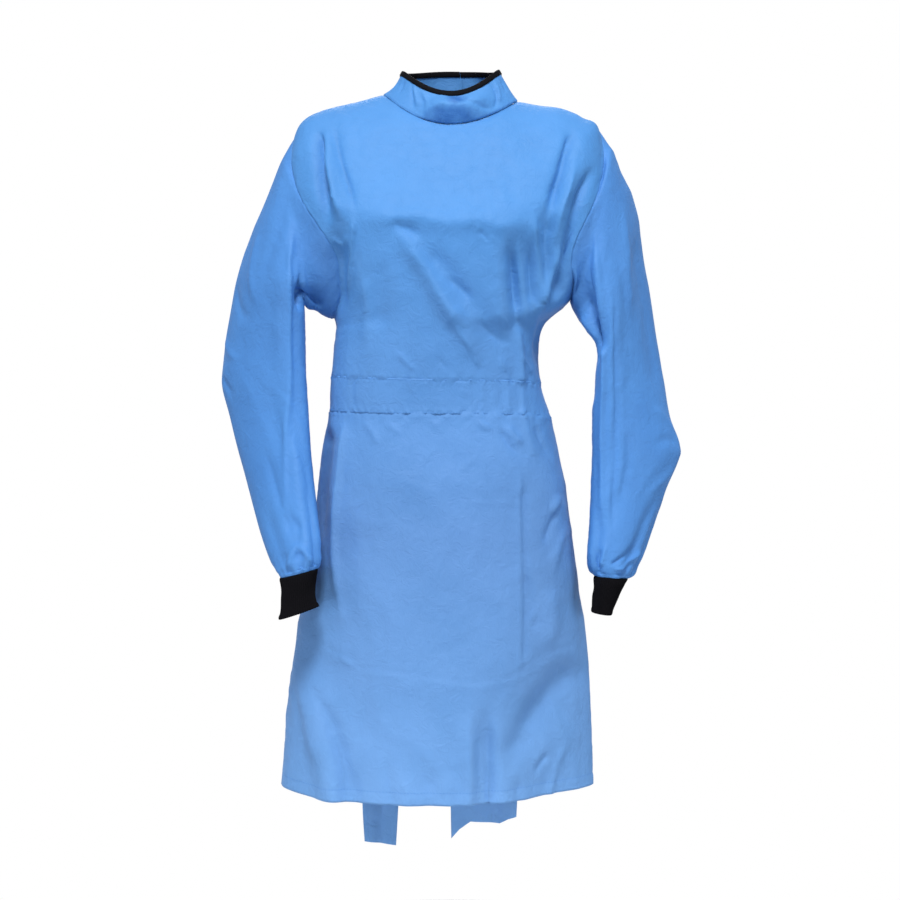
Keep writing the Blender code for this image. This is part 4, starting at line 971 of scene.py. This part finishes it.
sleeve_turns = np.arange(SLEEVE_COLUMNS) * 360 / SLEEVE_COLUMNS
for side, word, sleeve, cuff, folds, creases, seed in (
    (-1, "left", LEFT_SLEEVE, LEFT_CUFF, LEFT_SLEEVE_FOLDS, LEFT_SLEEVE_CREASES, 500),
    (1, "right", RIGHT_SLEEVE, RIGHT_CUFF, RIGHT_SLEEVE_FOLDS, RIGHT_SLEEVE_CREASES, 600),
):
    seam = len(sleeve) + 1
    rows = np.linspace(0, seam, SLEEVE_ROWS)
    points = cuff_tube(side, sleeve, cuff, folds, sleeve_turns, rows)
    sections, turns = np.meshgrid(rows, sleeve_turns, indexing="ij")
    lift = sleeve_crease_lift(creases, sections, turns)
    down = lengths_along(points, 0)
    from_cuff = down[-1:] - down
    around = lengths_along(points, 1)
    outwards, forwards = np.cos(np.radians(turns)), np.sin(np.radians(turns))
    x, z = 200 + 60 * outwards, 60 * forwards + sections * SECTION_MM + 40 * outwards
    lift = lift + relief(x, z, seed, most=0.75) * ease(down / 14) * ease(from_cuff / 30)
    lift = lift + seam_dip(down) + puckers(around, down, seed + 10, size=8, reach=14, height=0.7, slant=0.2)
    draw = np.exp(-from_cuff / GATHER_REACH) * (1 - 0.55 * np.exp(-from_cuff / 4))
    lift = lift + GATHER_HEIGHT * gathers(turns, seed + 20) * draw
    lift = lift + BLOUSE_HEIGHT * np.exp(-(((from_cuff - BLOUSE_AT) / BLOUSE_WIDTH) ** 2))
    lift = lift + seam_dip(from_cuff, depth=1.0, width=2.2)
    under = ((turns - UNDER_SEAM_TURN + 180) % 360 - 180) * DEGREE_MM
    lift = lift + seam_dip(under, depth=0.6, width=1.6)
    lift = lift + puckers(down, under, seed + 30, size=9, reach=8, height=0.4)
    points = points + tube_normals(points) * lift[..., None]
    allowance = armhole_points(side, sleeve_turns, 3.0)
    allowance[:, :2] -= ALLOWANCE * unit(allowance[:, :2])
    points = np.concatenate([allowance[None], points])
    name, form = f"sleeve_{word}_cloth", {"closed": True, "inward": side > 0}
    piece = sheet(name, points, SLEEVE_CLOTH, "gown_cloth", f"sleeve_{word}", **form)

# Cuffs. A short tube of black rib knit on each sleeve, stretched over the wrist and a little slack.
RIBS = 52
CUFF_COLUMNS, CUFF_ROWS = RIBS * 6, 30
CUFF_EDGE, CUFF_ROLL, CUFF_SLACK = 3.0, 0.8, 1.1
KNIT_THICKNESS, RIB_HEIGHT = 1.1, 0.5
BLACK_DYE = (0.002, 0.002, 0.003, 1)


def black_knit():
    """Black rib knit: matt, with the small loops of its stitches."""
    material, nodes, links, shader = new_material("rib_knit_black")
    loops = weave(nodes, links, 1.3, cloth_uv(nodes, links))
    place = add_node(nodes, links, "TexCoord").outputs["Object"]
    fuzz = noise(nodes, links, place, Scale=900.0, Detail=2.0)
    shade = colour_ramp(nodes, links, fuzz, (0.0, BLACK_DYE), (1.0, (0.0055, 0.005, 0.0065, 1)))
    links.new(shade.outputs[0], shader.inputs["Base Color"])
    shader.inputs["Roughness"].default_value = 0.92
    shader.inputs["Specular IOR Level"].default_value = 0.08
    bump = add_node(nodes, links, "Bump", {"Height": loops}, Strength=0.6, Distance=0.3 * MM)
    links.new(bump.outputs[0], shader.inputs["Normal"])
    return material


KNIT = black_knit()
cuff_turns = np.arange(CUFF_COLUMNS) * 360 / CUFF_COLUMNS
for side, word, sleeve, cuff, folds, seed in (
    (-1, "left", LEFT_SLEEVE, LEFT_CUFF, LEFT_SLEEVE_FOLDS, 700),
    (1, "right", RIGHT_SLEEVE, RIGHT_CUFF, RIGHT_SLEEVE_FOLDS, 720),
):
    seam = len(sleeve) + 1
    rows = np.linspace(seam, seam + 2, CUFF_ROWS)
    points = cuff_tube(side, sleeve, cuff, folds, cuff_turns, rows)
    down = lengths_along(points, 0)
    from_end = down[-1:] - down
    turns = cuff_turns[None, :] + 0 * down
    ribs = RIB_HEIGHT * np.cos(np.radians(turns * RIBS)) * (0.35 + 0.65 * ease(down / 5))
    slack = CUFF_SLACK * hills(turns / 40, down / 16 + turns / 90, seed)
    round_edge = np.sqrt(np.clip(1 - (from_end / CUFF_EDGE - 1) ** 2, 0, 1))
    roll = CUFF_ROLL * round_edge * (from_end < 2 * CUFF_EDGE)
    lift = ribs + slack * ease(down / 10) * ease(from_end / 6) + roll + seam_dip(down, depth=0.9, width=1.5)
    points = points + tube_normals(points) * lift[..., None]
    name, form = f"cuff_{word}_knit", {"closed": True, "inward": side > 0}
    piece = sheet(name, points, KNIT, "black_knit", f"cuff_{word}", KNIT_THICKNESS, **form)

# Collar. A stand band of the same cloth, folded double, sewn on round the neck seam with a row of
# stitches beside the seam. It is creased where it has been bent, and its ends lap at the back.
COLLAR_COLUMNS, COLLAR_ROWS = 300, 26
COLLAR_DEGREE_MM, COLLAR_PLACE_MM = 1.4, 25.0
BINDING_HEIGHT, BINDING_WALL = 8.0, 1.0
COLLAR_STITCHES_AT, POUCH_HEIGHT = 3.5, 12.0
POUCH_WIDTHS = 23.0, 32.0  # degrees, towards -X and +X
POUCH_PROFILE = [  # place, share of the height
    (0, 0), (0.1, 0.16), (0.35, 0.46), (0.8, 0.9), (1.0, 1.0), (1.2, 0.86), (1.4, 0.4), (1.6, 0.0),
]
# Painted shade: spots where the collar's colour is darkened, in place of the shade under the pouch in its
# middle.
PAINTED_SHADE_SPOTS = [((0, -66, -33), (42, 60, 15)), ((8, -62, -9), (15, 60, 9))]  # middles and reaches
PAINTED_SHADE_TINT, SPOT_SHARPNESS, BROAD_SPOT_CORE = (0.40, 0.55, 0.72, 1), 0.62, 0.5
SEAM_GAP, CAD_WALL = 0.3, 1.2
COLLAR_CREASES = [  # (turn, place) points, place 0 at the neck seam and 2 at the top edge
    Fold([(-52, 1.85), (-45, 1.2), (-34, 0.35)], 2.6, -2.8, 0.15, 0.15, 0.8),
    Fold([(-47, 1.6), (-38, 1.0), (-30, 0.5)], 3.5, 2.6, 0.3, 0.3, 0.5),
    Fold([(-34, 1.5), (-25, 0.95), (-21, 0.15)], 4.0, 2.4, 0.2, 0.2, 0.7, 0.3),
    Fold([(-14, 1.62), (-4, 1.44), (8, 1.16)], 3.4, 4.2, 0.2, 0.3, 0.6, 0.3),
    Fold([(2, 1.55), (16, 1.36)], 4.5, -3.4, 0.3, 0.3, 0.3),
    Fold([(-22, 0.5), (-12, 0.95), (-3, 1.1)], 4.0, 2.4, 0.3, 0.3, 0.6),
    Fold([(-4, 1.6), (12, 1.2), (30, 0.6), (40, 0.35)], 3.5, -2.6, 0.3, 0.2, 0.6),
    Fold([(10, 1.45), (26, 1.6), (40, 1.85)], 3.5, 2.0, 0.3, 0.3, 0.6),
    Fold([(44, 1.85), (50, 1.3), (47, 0.7), (38, 0.3)], 3.0, -3.0, 0.2, 0.2, 0.7),
    Fold([(58, 1.8), (55, 1.2), (49, 0.5)], 3.2, 3.0, 0.2, 0.2, 0.7),
    Fold([(70, 1.6), (66, 0.8)], 4.0, -2.0, 0.3, 0.3, 0.4),
    Fold([(-64, 1.6), (-58, 0.6)], 4.0, -2.0, 0.3, 0.3, 0.4),
    Fold([(-78, 1.3), (-70, 0.5)], 4.0, 1.6, 0.3, 0.3, 0.4),
    Fold([(-110, 1.6), (-104, 0.6)], 4.0, -2.0, 0.3, 0.3, 0.5),
    Fold([(104, 1.5), (112, 0.6)], 4.0, -2.0, 0.3, 0.3, 0.5),
    Fold([(140, 1.4), (134, 0.7)], 3.5, 1.6, 0.3, 0.3, 0.5),
    Fold([(-140, 1.2), (-146, 0.5)], 3.5, 1.6, 0.3, 0.3, 0.5),
]


def pouch(places, turns):
    """How far the middle of the collar stands out above the seam, where the neck has pushed it up."""
    width = np.where(turns < 0, *POUCH_WIDTHS)
    rise = np.interp(places, *zip(*POUCH_PROFILE))
    return POUCH_HEIGHT * rise * np.exp(-(((turns - 2) / width) ** 4))


def collar_surface(places, turns):
    """The collar's outer face. Its end on +X laps over the other."""
    places = np.clip(places, 0, len(COLLAR) - 1)
    way = neck_lift(places, -normals_of(collar_shape, places, turns), turns)
    return collar_shape(places, turns) + way * lap_lift(0 * places, turns)[..., None]


def creased_collar(places, turns):
    points = collar_surface(places, turns)
    lift = 0 * places
    for crease in COLLAR_CREASES:
        path = [(turn * COLLAR_DEGREE_MM, place * COLLAR_PLACE_MM) for turn, place in crease.path]
        x, z = turns * COLLAR_DEGREE_MM, places * COLLAR_PLACE_MM
        lift = lift + fold_height(crease._replace(path=path), x, z)
    lift = lift + relief(turns * COLLAR_DEGREE_MM, places * COLLAR_PLACE_MM, 800, most=0.35)
    edge = ease(places / 0.25) * ease((1.72 - places) / 0.5)
    lift = lift * edge + pouch(places, turns)
    return points - normals_of(collar_shape, np.clip(places, 0.05, 1.95), turns) * lift[..., None]


def painted_shade_collar_cloth():
    """The gown's cloth with painted shade: a deeper blue in the lower middle of the collar, in place of the
    shade under its pouch.
    """
    material = CLOTH.copy()
    material.name = "gown_poly_cotton_painted_shade"
    nodes, links = material.node_tree.nodes, material.node_tree.links
    shader = nodes["Principled BSDF"]
    plain = shader.inputs["Base Color"].links[0].from_socket
    place = add_node(nodes, links, "TexCoord").outputs["Object"]
    uneven = noise(nodes, links, place, Scale=70.0, Detail=3.0)
    away = []
    for middle, reach in PAINTED_SHADE_SPOTS:
        middle, reach = np.array(middle) * MM, np.array(reach) * MM
        spot = add_node(nodes, links, "Mapping", {"Vector": place}, Scale=1 / reach, Location=-middle / reach)
        length = add_node(nodes, links, "VectorMath", {0: spot.outputs[0]}, operation="LENGTH")
        away.append(length.outputs["Value"])
    broad = add_node(nodes, links, "Math", {0: away[0]}, operation="MAXIMUM")
    broad.inputs[1].default_value = BROAD_SPOT_CORE
    both = {0: away[1], 1: broad.outputs[0]}
    nearest = add_node(nodes, links, "Math", both, operation="MINIMUM")
    ragged = added_share(nodes, links, uneven, 0.9, nearest.outputs[0])
    shrink = add_node(nodes, links, "Math", {0: ragged}, operation="MULTIPLY")
    shrink.inputs[1].default_value = SPOT_SHARPNESS
    edge = colour_ramp(nodes, links, shrink.outputs[0], (0.53, PAINTED_SHADE_TINT), (0.95, WHITE))
    links.new(tinted(nodes, links, plain, edge.outputs[0]), shader.inputs["Base Color"])
    return material


over = float(lap_turn(np.array(0.0)))
collar_turns = np.linspace(-180 - over, 180 + over, COLLAR_COLUMNS + 1)
places, turns = np.meshgrid(np.linspace(1.96, 0, COLLAR_ROWS), collar_turns, indexing="ij")
points = creased_collar(places, turns)
normals = grid_normals(points)
down, across = lengths_along(points, 0), lengths_along(points, 1)
from_seam = down[-1:] - down
lift = seam_dip(from_seam, depth=0.8, width=1.6)
lift = lift + puckers(across, from_seam - COLLAR_STITCHES_AT, 820, size=5, reach=5, height=0.3)
points = points + normals * lift[..., None]
# The collar's cloth carries painted shade in its middle.
collar = sheet("collar_cloth", points, painted_shade_collar_cloth(), "gown_cloth", "collar", 2 * CLOTH_THICKNESS)
row = int(np.argmin(np.abs(from_seam[:, COLLAR_COLUMNS // 2] - COLLAR_STITCHES_AT)))
stitches("collar_seam_stitches", points[row], normals[row], long=2.4, gap=1.2, thick=0.4)

# Collar binding. A strip of black tape folded over the collar's top edge, with a row of black stitches.
BINDING_COLUMNS, BEND_DEPTH, BINDING_THICKNESS, BINDING_STITCHES_AT = 320, 1.3, 0.7, 6.4
BINDING_LEG = [(0.55, 8.0), (0.3, 7.0), (0.0, 5.0), (0.0, 3.0), (0.0, 1.6)]  # inwards, below the edge


def black_tape():
    """Black woven tape: a plain weave, a little shinier than the knit."""
    material, nodes, links, shader = new_material("binding_tape_black")
    threads = weave(nodes, links, 0.8, cloth_uv(nodes, links))
    shade = colour_ramp(nodes, links, threads, (0.0, BLACK_DYE), (1.0, (0.008, 0.008, 0.011, 1)))
    links.new(shade.outputs[0], shader.inputs["Base Color"])
    shader.inputs["Roughness"].default_value = 0.75
    shader.inputs["Specular IOR Level"].default_value = 0.1
    bump = add_node(nodes, links, "Bump", {"Height": threads}, Strength=0.5, Distance=0.2 * MM)
    links.new(bump.outputs[0], shader.inputs["Normal"])
    return material


def place_below(turns, distance):
    """The place on the collar that lies this far below its top edge, at each turn."""
    steps = np.linspace(len(COLLAR) - 1, 0, 41)
    found = []
    for turn in turns:
        line = collar_surface(steps, np.full(steps.shape, turn))
        found.append(np.interp(distance, along_line(line), steps))
    return np.array(found)


TAPE = black_tape()
turns = np.linspace(-180 - over, 180 + over, BINDING_COLUMNS + 1)
top = collar_surface(np.full(turns.shape, 2.0), turns)
down = unit(collar_surface(place_below(turns, BINDING_HEIGHT), turns) - top)
out = -normals_of(collar_surface, np.full(turns.shape, 2.0), turns)
reach, inside = SEAM_GAP + BINDING_WALL, CAD_WALL + SEAM_GAP + BINDING_WALL
middle, half = (reach - inside) / 2, (reach + inside) / 2
outer_leg = [(reach - inwards, drop) for inwards, drop in BINDING_LEG]
inner_leg = [(inwards - inside, drop) for inwards, drop in BINDING_LEG[::-1]]
bend = [
    (middle + half * math.cos(angle), BEND_DEPTH * (1 - math.sin(angle)))
    for angle in np.radians(np.arange(0, 181, 22.5))
]
profile = outer_leg + bend + inner_leg
wave = 0.35 * wander(turns * COLLAR_DEGREE_MM / 9, 840)
rows = []
for off, drop in profile:
    soft = 0.25 * math.sin(math.pi * drop / BINDING_HEIGHT) * (1 if off > 0 else -1)
    rows.append(top + out * (off + soft + wave[:, None] * min(1.0, drop / 4)) + down * drop)
binding_points = np.array(rows)[::-1]
binding = sheet(
    "collar_binding_tape", binding_points, TAPE, "black_trim", "collar_binding", BINDING_THICKNESS
)
line = top + out * (reach + 0.2) + down * BINDING_STITCHES_AT
stitches("binding_stitches", line, out, long=2.2, gap=1.2, thick=0.36, thread=TAPE, slot="black_trim")

# Neck fastening. Two short strips of black hook-and-loop tape between the lapped ends of the collar,
# one sewn on the outside of the lower end and the other on the inside of the upper end.
TAPE_SHARE, TAPE_THICKNESS, TAPE_PLACES = 0.9, 1.1, (1.26, 0.3)
span = (collar_turns[-1] - collar_turns[0]) / 36
for name, start, standoff in (
    ("neck_tape_under", collar_turns[0], SEAM_GAP + TAPE_THICKNESS),
    ("neck_tape_over", collar_turns[-1] - 2 * span, -CAD_WALL - SEAM_GAP),
):
    down, across = np.linspace(*TAPE_PLACES, 22), np.linspace(start, start + 2 * span, 30)
    places, turns = np.meshgrid(down, across, indexing="ij")
    points = collar_surface(places, turns)
    middle = points.mean(axis=(0, 1))
    points = middle + (points - middle) * TAPE_SHARE
    nap = 0.12 * hills(turns * 2.4, places * 60, 860)
    points = points + grid_normals(points) * (standoff + nap)[..., None]
    sheet(f"{name}_strip", points, TAPE, "black_trim", name, TAPE_THICKNESS - 0.2)

# Belt. A flat band of the gown's cloth. Across the front it is sewn down along both edges, and the two
# rows of stitches pucker it. From the side seams it runs free round to the knot at the centre back.
BELT_OFF_BODY, BELT_THICKNESS, BELT_STITCHES_AT = 0.3, 0.9, 2.5
BELT_COLUMNS, BELT_ROWS, BELT_SIDE_COLUMNS = 280, 34, 96
BELT_SIDE_TURNS = (90.2, 175.6)
NARROWED, NARROWS_FROM, NARROWS_OVER = 0.55, 145, 27
DRAWN_FROM, DRAWN_OVER, BELT_PLEATS = 128, 42, 2.6
BELT_CREASES = [
    Fold([(-134, -382), (-131, -432)], 4, -1.0, 0.1, 0.1, 0.4),
    Fold([(-60, -388), (-54, -404), (-44, -414)], 4, 0.9, 0.2, 0.3, 0.6),
    Fold([(-22, -392), (-10, -410)], 4, -0.8, 0.2, 0.3, 0.5),
    Fold([(14, -392), (22, -420)], 4, 0.9, 0.2, 0.3, 0.5),
    Fold([(34, -392), (36, -438)], 4, -1.3, 0.1, 0.1, 0.4),
    Fold([(42, -390), (45, -438)], 4, 1.2, 0.1, 0.1, 0.4),
    Fold([(68, -392), (70, -438)], 4, -1.4, 0.1, 0.1, 0.5),
    Fold([(78, -390), (79, -438)], 4, 1.3, 0.1, 0.1, 0.5),
    Fold([(90, -392), (94, -438)], 4, -0.9, 0.1, 0.1, 0.4),
    Fold([(97, -384), (99, -445)], 6, 2.2, 0.0, 0.0, 0.6),
]


def belt_standoff(turns):
    """The belt's outer face, off the gown's, with room for the lap at the back."""
    rise = ease((np.abs(turns) - LIFT_STARTS) / (LIFT_ENDS - LIFT_STARTS))
    return BELT_OFF_BODY + CAD_WALL + (LAP_LIFT + 0.6) * rise


def belt_grid(turns, rows):
    """Points of the belt, which narrows where it runs into the knot."""
    narrow = 1 - NARROWED * ease((np.abs(turns) - NARROWS_FROM) / NARROWS_OVER)
    middle = (BELT_TOP + BELT_BOTTOM) / 2
    places = middle + np.linspace(-1, 1, rows)[:, None] * narrow * (BELT_BOTTOM - BELT_TOP) / 2
    turns = np.broadcast_to(turns, places.shape)
    points = body_points(places, turns)
    return points + grid_normals(points) * belt_standoff(turns)[..., None], turns


points, turns = belt_grid(np.linspace(-90, 90, BELT_COLUMNS + 1), BELT_ROWS)
across, down = lengths_along(points, 1), lengths_along(points, 0)
from_bottom = down[-1:] - down
lift = 0 * down
for crease in BELT_CREASES:
    lift = lift + fold_height(crease, points[..., 0], points[..., 2])
for off, seed in ((down - BELT_STITCHES_AT, 900), (from_bottom - BELT_STITCHES_AT, 910)):
    lift = lift + puckers(across, off, seed, size=4.2, reach=5.0, height=0.95)
    pulled = np.clip(0.25 + 0.9 * wander(across / 4.0, seed + 5), 0, 1)
    lift = lift + seam_dip(off, depth=1.5, width=1.3) * pulled
lift = lift + relief(points[..., 0], points[..., 2], 920, most=0.4)
lift = lift - 0.5 * np.exp(-np.minimum(down, from_bottom) / 0.8)
points = points + grid_normals(points) * np.maximum(lift, -1.1)[..., None]
belt = sheet("belt_front_cloth", points, CLOTH, "gown_cloth", "belt_front", BELT_THICKNESS)
normals = grid_normals(points)
for row, word in ((1, "top"), (BELT_ROWS - 2, "bottom")):
    stitches(f"belt_{word}_stitches", points[row], normals[row], long=2.8, gap=1.5, thick=0.5)

for side, word, seed in ((-1, "left", 930), (1, "right", 940)):
    turns = side * np.linspace(*BELT_SIDE_TURNS, BELT_SIDE_COLUMNS)
    if side < 0:
        turns = turns[::-1]
    points, turns = belt_grid(turns, BELT_ROWS)
    across, down = lengths_along(points, 1), lengths_along(points, 0)
    draw = ease((np.abs(turns) - DRAWN_FROM) / DRAWN_OVER)
    rows = np.linspace(0, 1, BELT_ROWS)[:, None]
    pleats = np.sin(2 * math.pi * (BELT_PLEATS * rows + 0.2 * np.sin(np.radians(turns * 4))))
    lift = 1.6 * pleats * draw + relief(points[..., 0], points[..., 2], seed, most=0.35) * (1 - draw)
    edges = np.minimum(down, down[-1:] - down)
    lift = lift + seam_dip(edges - 3, depth=0.3, width=1.0)
    points = points + grid_normals(points) * np.maximum(lift, -1.0)[..., None]
    name = f"belt_back_{word}"
    piece = sheet(f"{name}_cloth", points, CLOTH, "gown_cloth", name, BELT_THICKNESS)

# Knot. The two ends of the belt are crossed and tied once over each other at the centre back.
KNOT_SIZE, KNOT_MIDDLE = (24.0, 13.0, 19.0), (-18.0, 100.4, -416.0)
KNOT_COLUMNS, KNOT_ROWS, KNOT_POLE = 120, 80, 0.02
BAND_HALF, BAND_EDGE = 0.62, 0.12
longitude, latitude = np.meshgrid(
    np.linspace(0, 2 * math.pi, KNOT_COLUMNS, endpoint=False),
    np.linspace(KNOT_POLE, math.pi - KNOT_POLE, KNOT_ROWS),
)
x = np.sin(latitude) * np.cos(longitude)
y = np.sin(latitude) * np.sin(longitude)
z = np.cos(latitude)
size = (np.abs(x) ** 3 + np.abs(y) ** 3 + np.abs(z) ** 3) ** (-1 / 3)
over_band, under_band = x * 0.8 - z * 0.6, x * 0.8 + z * 0.6
band = ease((BAND_HALF - np.abs(over_band)) / BAND_EDGE)
pleats = 0.035 * np.sin(over_band * 17 + 0.8 * np.sin(under_band * 3)) * band
rest = 0.03 * np.sin(under_band * 21 + 0.6) * (1 - band)
size = size * (0.9 + 0.08 * band + pleats + rest + 0.02 * hills(x * 3 + 9, z * 3 + 9, 950))
points = np.stack([x, y, z], axis=-1) * size[..., None] * KNOT_SIZE + KNOT_MIDDLE
mesh = grid_mesh("belt_knot_cloth", points, closed=True)
count = KNOT_COLUMNS * KNOT_ROWS
cage = bmesh.new()
cage.from_mesh(mesh)
cage.verts.ensure_lookup_table()
for row in (range(KNOT_COLUMNS), range(count - 1, count - 1 - KNOT_COLUMNS, -1)):
    cage.faces.new([cage.verts[corner] for corner in row])
bmesh.ops.recalc_face_normals(cage, faces=cage.faces)
cage.to_mesh(mesh)
cage.free()
mesh.shade_smooth()
link("belt_knot_cloth", mesh, CLOTH, "belt_knot")

# Belt ends. The two free ends hang from the knot down the back of the skirt to below its hem. Each has
# a soft fold down its length, and the right one has opened out at its fold.
Strip = namedtuple("Strip", "z middle_x half off fold")
LEFT_END = [
    Strip(-435.6, -28, 8, 9, 0),
    Strip(-455, -34, 13, 7, 3),
    Strip(-500, -46, 21, 5, 4),
    Strip(-600, -63, 26, 4, 3),
    Strip(-750, -84, 28, 4, 2),
    Strip(-900, -99, 28, 4, 2),
    Strip(-960, -102, 28, 4, 3),
    Strip(-1020, -103, 26, 2, 4),
    Strip(-1070, -103, 23, 0, 4),
]
RIGHT_END = [
    Strip(-435.2, -6, 8, 9, 0),
    Strip(-455, -2, 14, 7, 3),
    Strip(-500, 8, 23, 5, 5),
    Strip(-600, 20, 32, 4, 6),
    Strip(-750, 36, 42, 4, 6),
    Strip(-900, 47, 48, 4, 7),
    Strip(-960, 49, 49, 4, 8),
    Strip(-1010, 50, 49, 5, 10),
    Strip(-1050, 50, 48, 6, 12),
]
LEFT_END_EDGE = [(-1, 4), (1, -4)]  # share across, millimetres up from the end
RIGHT_END_EDGE = [(-1, -17), (-0.75, -3), (-0.4, 9), (0.1, 7), (0.5, 7), (0.75, 15), (1, 20)]
STRIP_COLUMNS, STRIP_ROWS, STITCHES_FROM = 40, 220, 21
STRIP_THICKNESS, STRIP_HEM = 0.6, 5


def back_surface_y(x, z):
    """How far back the skirt reaches at points seen from behind. Below the hem it hangs on."""
    places = np.linspace(BELT_TOP, HEM, 60)
    heights = read_rows(BODY, places)[:, Ring._fields.index("back_z")]
    place = np.interp(-z, -heights, places)
    middle, half = middle_and_half(place)
    share = np.clip((x - middle) / half, -0.95, 0.95)
    turn = 180 - np.degrees(np.arctan(share))
    for _ in range(6):
        found = ring_points(BODY, place, turn)[..., 0]
        turn = turn + (found - x) / half * 50
    return smooth_body(place, turn)[..., 1]


for word, table, end_edge, crease, seed in (
    ("left", LEFT_END, LEFT_END_EDGE, 0.0, 960), ("right", RIGHT_END, RIGHT_END_EDGE, 0.25, 980),
):
    steps = np.linspace(0, len(table) - 1, STRIP_ROWS)
    rows = read_rows(table, steps)
    shares = np.linspace(-1, 1, STRIP_COLUMNS + 1)
    slant = np.interp(shares, *zip(*end_edge))
    z = rows[:, 0:1] + slant * ease((steps[:, None] - len(table) + 2.5) / 1.5)
    x = rows[:, 1:2] + rows[:, 2:3] * shares
    fold = rows[:, 4:5] * np.exp(-(((shares - crease) / 0.4) ** 2))
    y = back_surface_y(x, z) + LAP_LIFT + CAD_WALL + rows[:, 3:4] + fold
    points = np.stack([x, y, z], axis=-1)
    pull = np.exp(-(steps[:, None] / 1.4) ** 2)
    pleats = np.sin(2 * math.pi * (1.8 * shares + 0.3)) * pull * 1.6
    sway = 1.2 * hills(x / 22, z / 60, seed) + 0.6 * (1 - 2 * np.abs(hills(x / 16, z / 30, seed + 1)))
    edges = (1 - np.abs(shares)) * rows[:, 2:3]
    hem = 0.3 * ease((STRIP_HEM - edges) / 1.2) + seam_dip(edges - STRIP_HEM, depth=0.25, width=1.0)
    points[..., 1] += pleats + sway * ease(steps[:, None] / 1.5) + hem
    name = f"belt_end_{word}"
    piece = sheet(f"{name}_cloth", points[:, ::-1], CLOTH, "gown_cloth", name, STRIP_THICKNESS)
    size = (0.056, 0.64) if word == "left" else (0.09, 0.62)
    normals = grid_normals(points[:, ::-1])[:, ::-1]
    for column, edge in ((4, "a"), (STRIP_COLUMNS - 4, "b")):
        line, out = points[STITCHES_FROM:, column], normals[STITCHES_FROM:, column]
        stitches(f"{name}_stitches_{edge}", line, out, **HEM_STITCH)

# Floor, light and camera: a round pale floor under the gown, a strong soft lamp high in front of it,
# weak ones at both sides and behind, and a grey room that is white only behind the gown. The camera
# is level with the gown's middle, straight in front of it.
FLOOR_Z, FLOOR_RADIUS, FLOOR_DEPTH = -1.32, 0.8, 0.02
ROOM_GREY, LAMPS_AIM = (0.29, 0.31, 0.36, 1), (0.0, 0.0, -0.45)
bpy.ops.mesh.primitive_cylinder_add(
    vertices=128, radius=FLOOR_RADIUS, depth=FLOOR_DEPTH, location=(0, 0, FLOOR_Z - FLOOR_DEPTH / 2)
)
floor = bpy.context.active_object
floor.name = floor.data.name = "floor"
paint, nodes, links, shader = new_material("floor_paint")
shader.inputs["Base Color"].default_value = (0.9, 0.9, 0.9, 1)
shader.inputs["Roughness"].default_value = 0.9
shader.inputs["Specular IOR Level"].default_value = 0.1
floor.data.materials.append(paint)

Lamp = namedtuple("Lamp", "name x y z size watts")
LAMPS = [
    Lamp("key_light", -0.3, -3.6, 4.2, 1.9, 368.0),
    Lamp("left_light", -2.3, -1.6, -1.3, 1.3, 26.0),
    Lamp("right_light", 2.4, -1.6, -0.6, 1.3, 24.0),
    Lamp("back_light", 0.0, 2.2, 1.6, 1.5, 28.0),
]
for lamp in LAMPS:
    light = bpy.data.lights.new(lamp.name, "AREA")
    light.shape, light.size, light.energy = "DISK", lamp.size, lamp.watts
    holder = bpy.data.objects.new(lamp.name, light)
    bpy.context.scene.collection.objects.link(holder)
    holder.location = (lamp.x, lamp.y, lamp.z)
    aim = np.array(LAMPS_AIM) - np.array([lamp.x, lamp.y, lamp.z])
    flat = math.hypot(aim[0], aim[1])
    holder.rotation_euler = (math.atan2(flat, -aim[2]), 0, math.atan2(aim[1], aim[0]) - math.pi / 2)

world = bpy.data.worlds.new("pale_room")
bpy.context.scene.world = world
world.use_nodes = True
nodes, links = world.node_tree.nodes, world.node_tree.links
around = add_node(nodes, links, "TexCoord").outputs["Generated"]
behind = add_node(nodes, links, "SeparateXYZ", {0: around}).outputs["Y"]
shade = colour_ramp(nodes, links, behind, (0.80, ROOM_GREY), (0.93, WHITE))
shade.color_ramp.interpolation = "EASE"
links.new(shade.outputs[0], nodes["Background"].inputs["Color"])
bpy.context.scene.view_settings.view_transform = "Standard"

lens = bpy.data.cameras.new("camera")
lens.lens, lens.sensor_width = 71.43, 36.0
camera = bpy.data.objects.new("camera", lens)
camera.location = (0.0, -2.5, -0.4886)
camera.rotation_euler = (math.pi / 2, 0, 0)
bpy.context.scene.collection.objects.link(camera)
bpy.context.scene.camera = camera
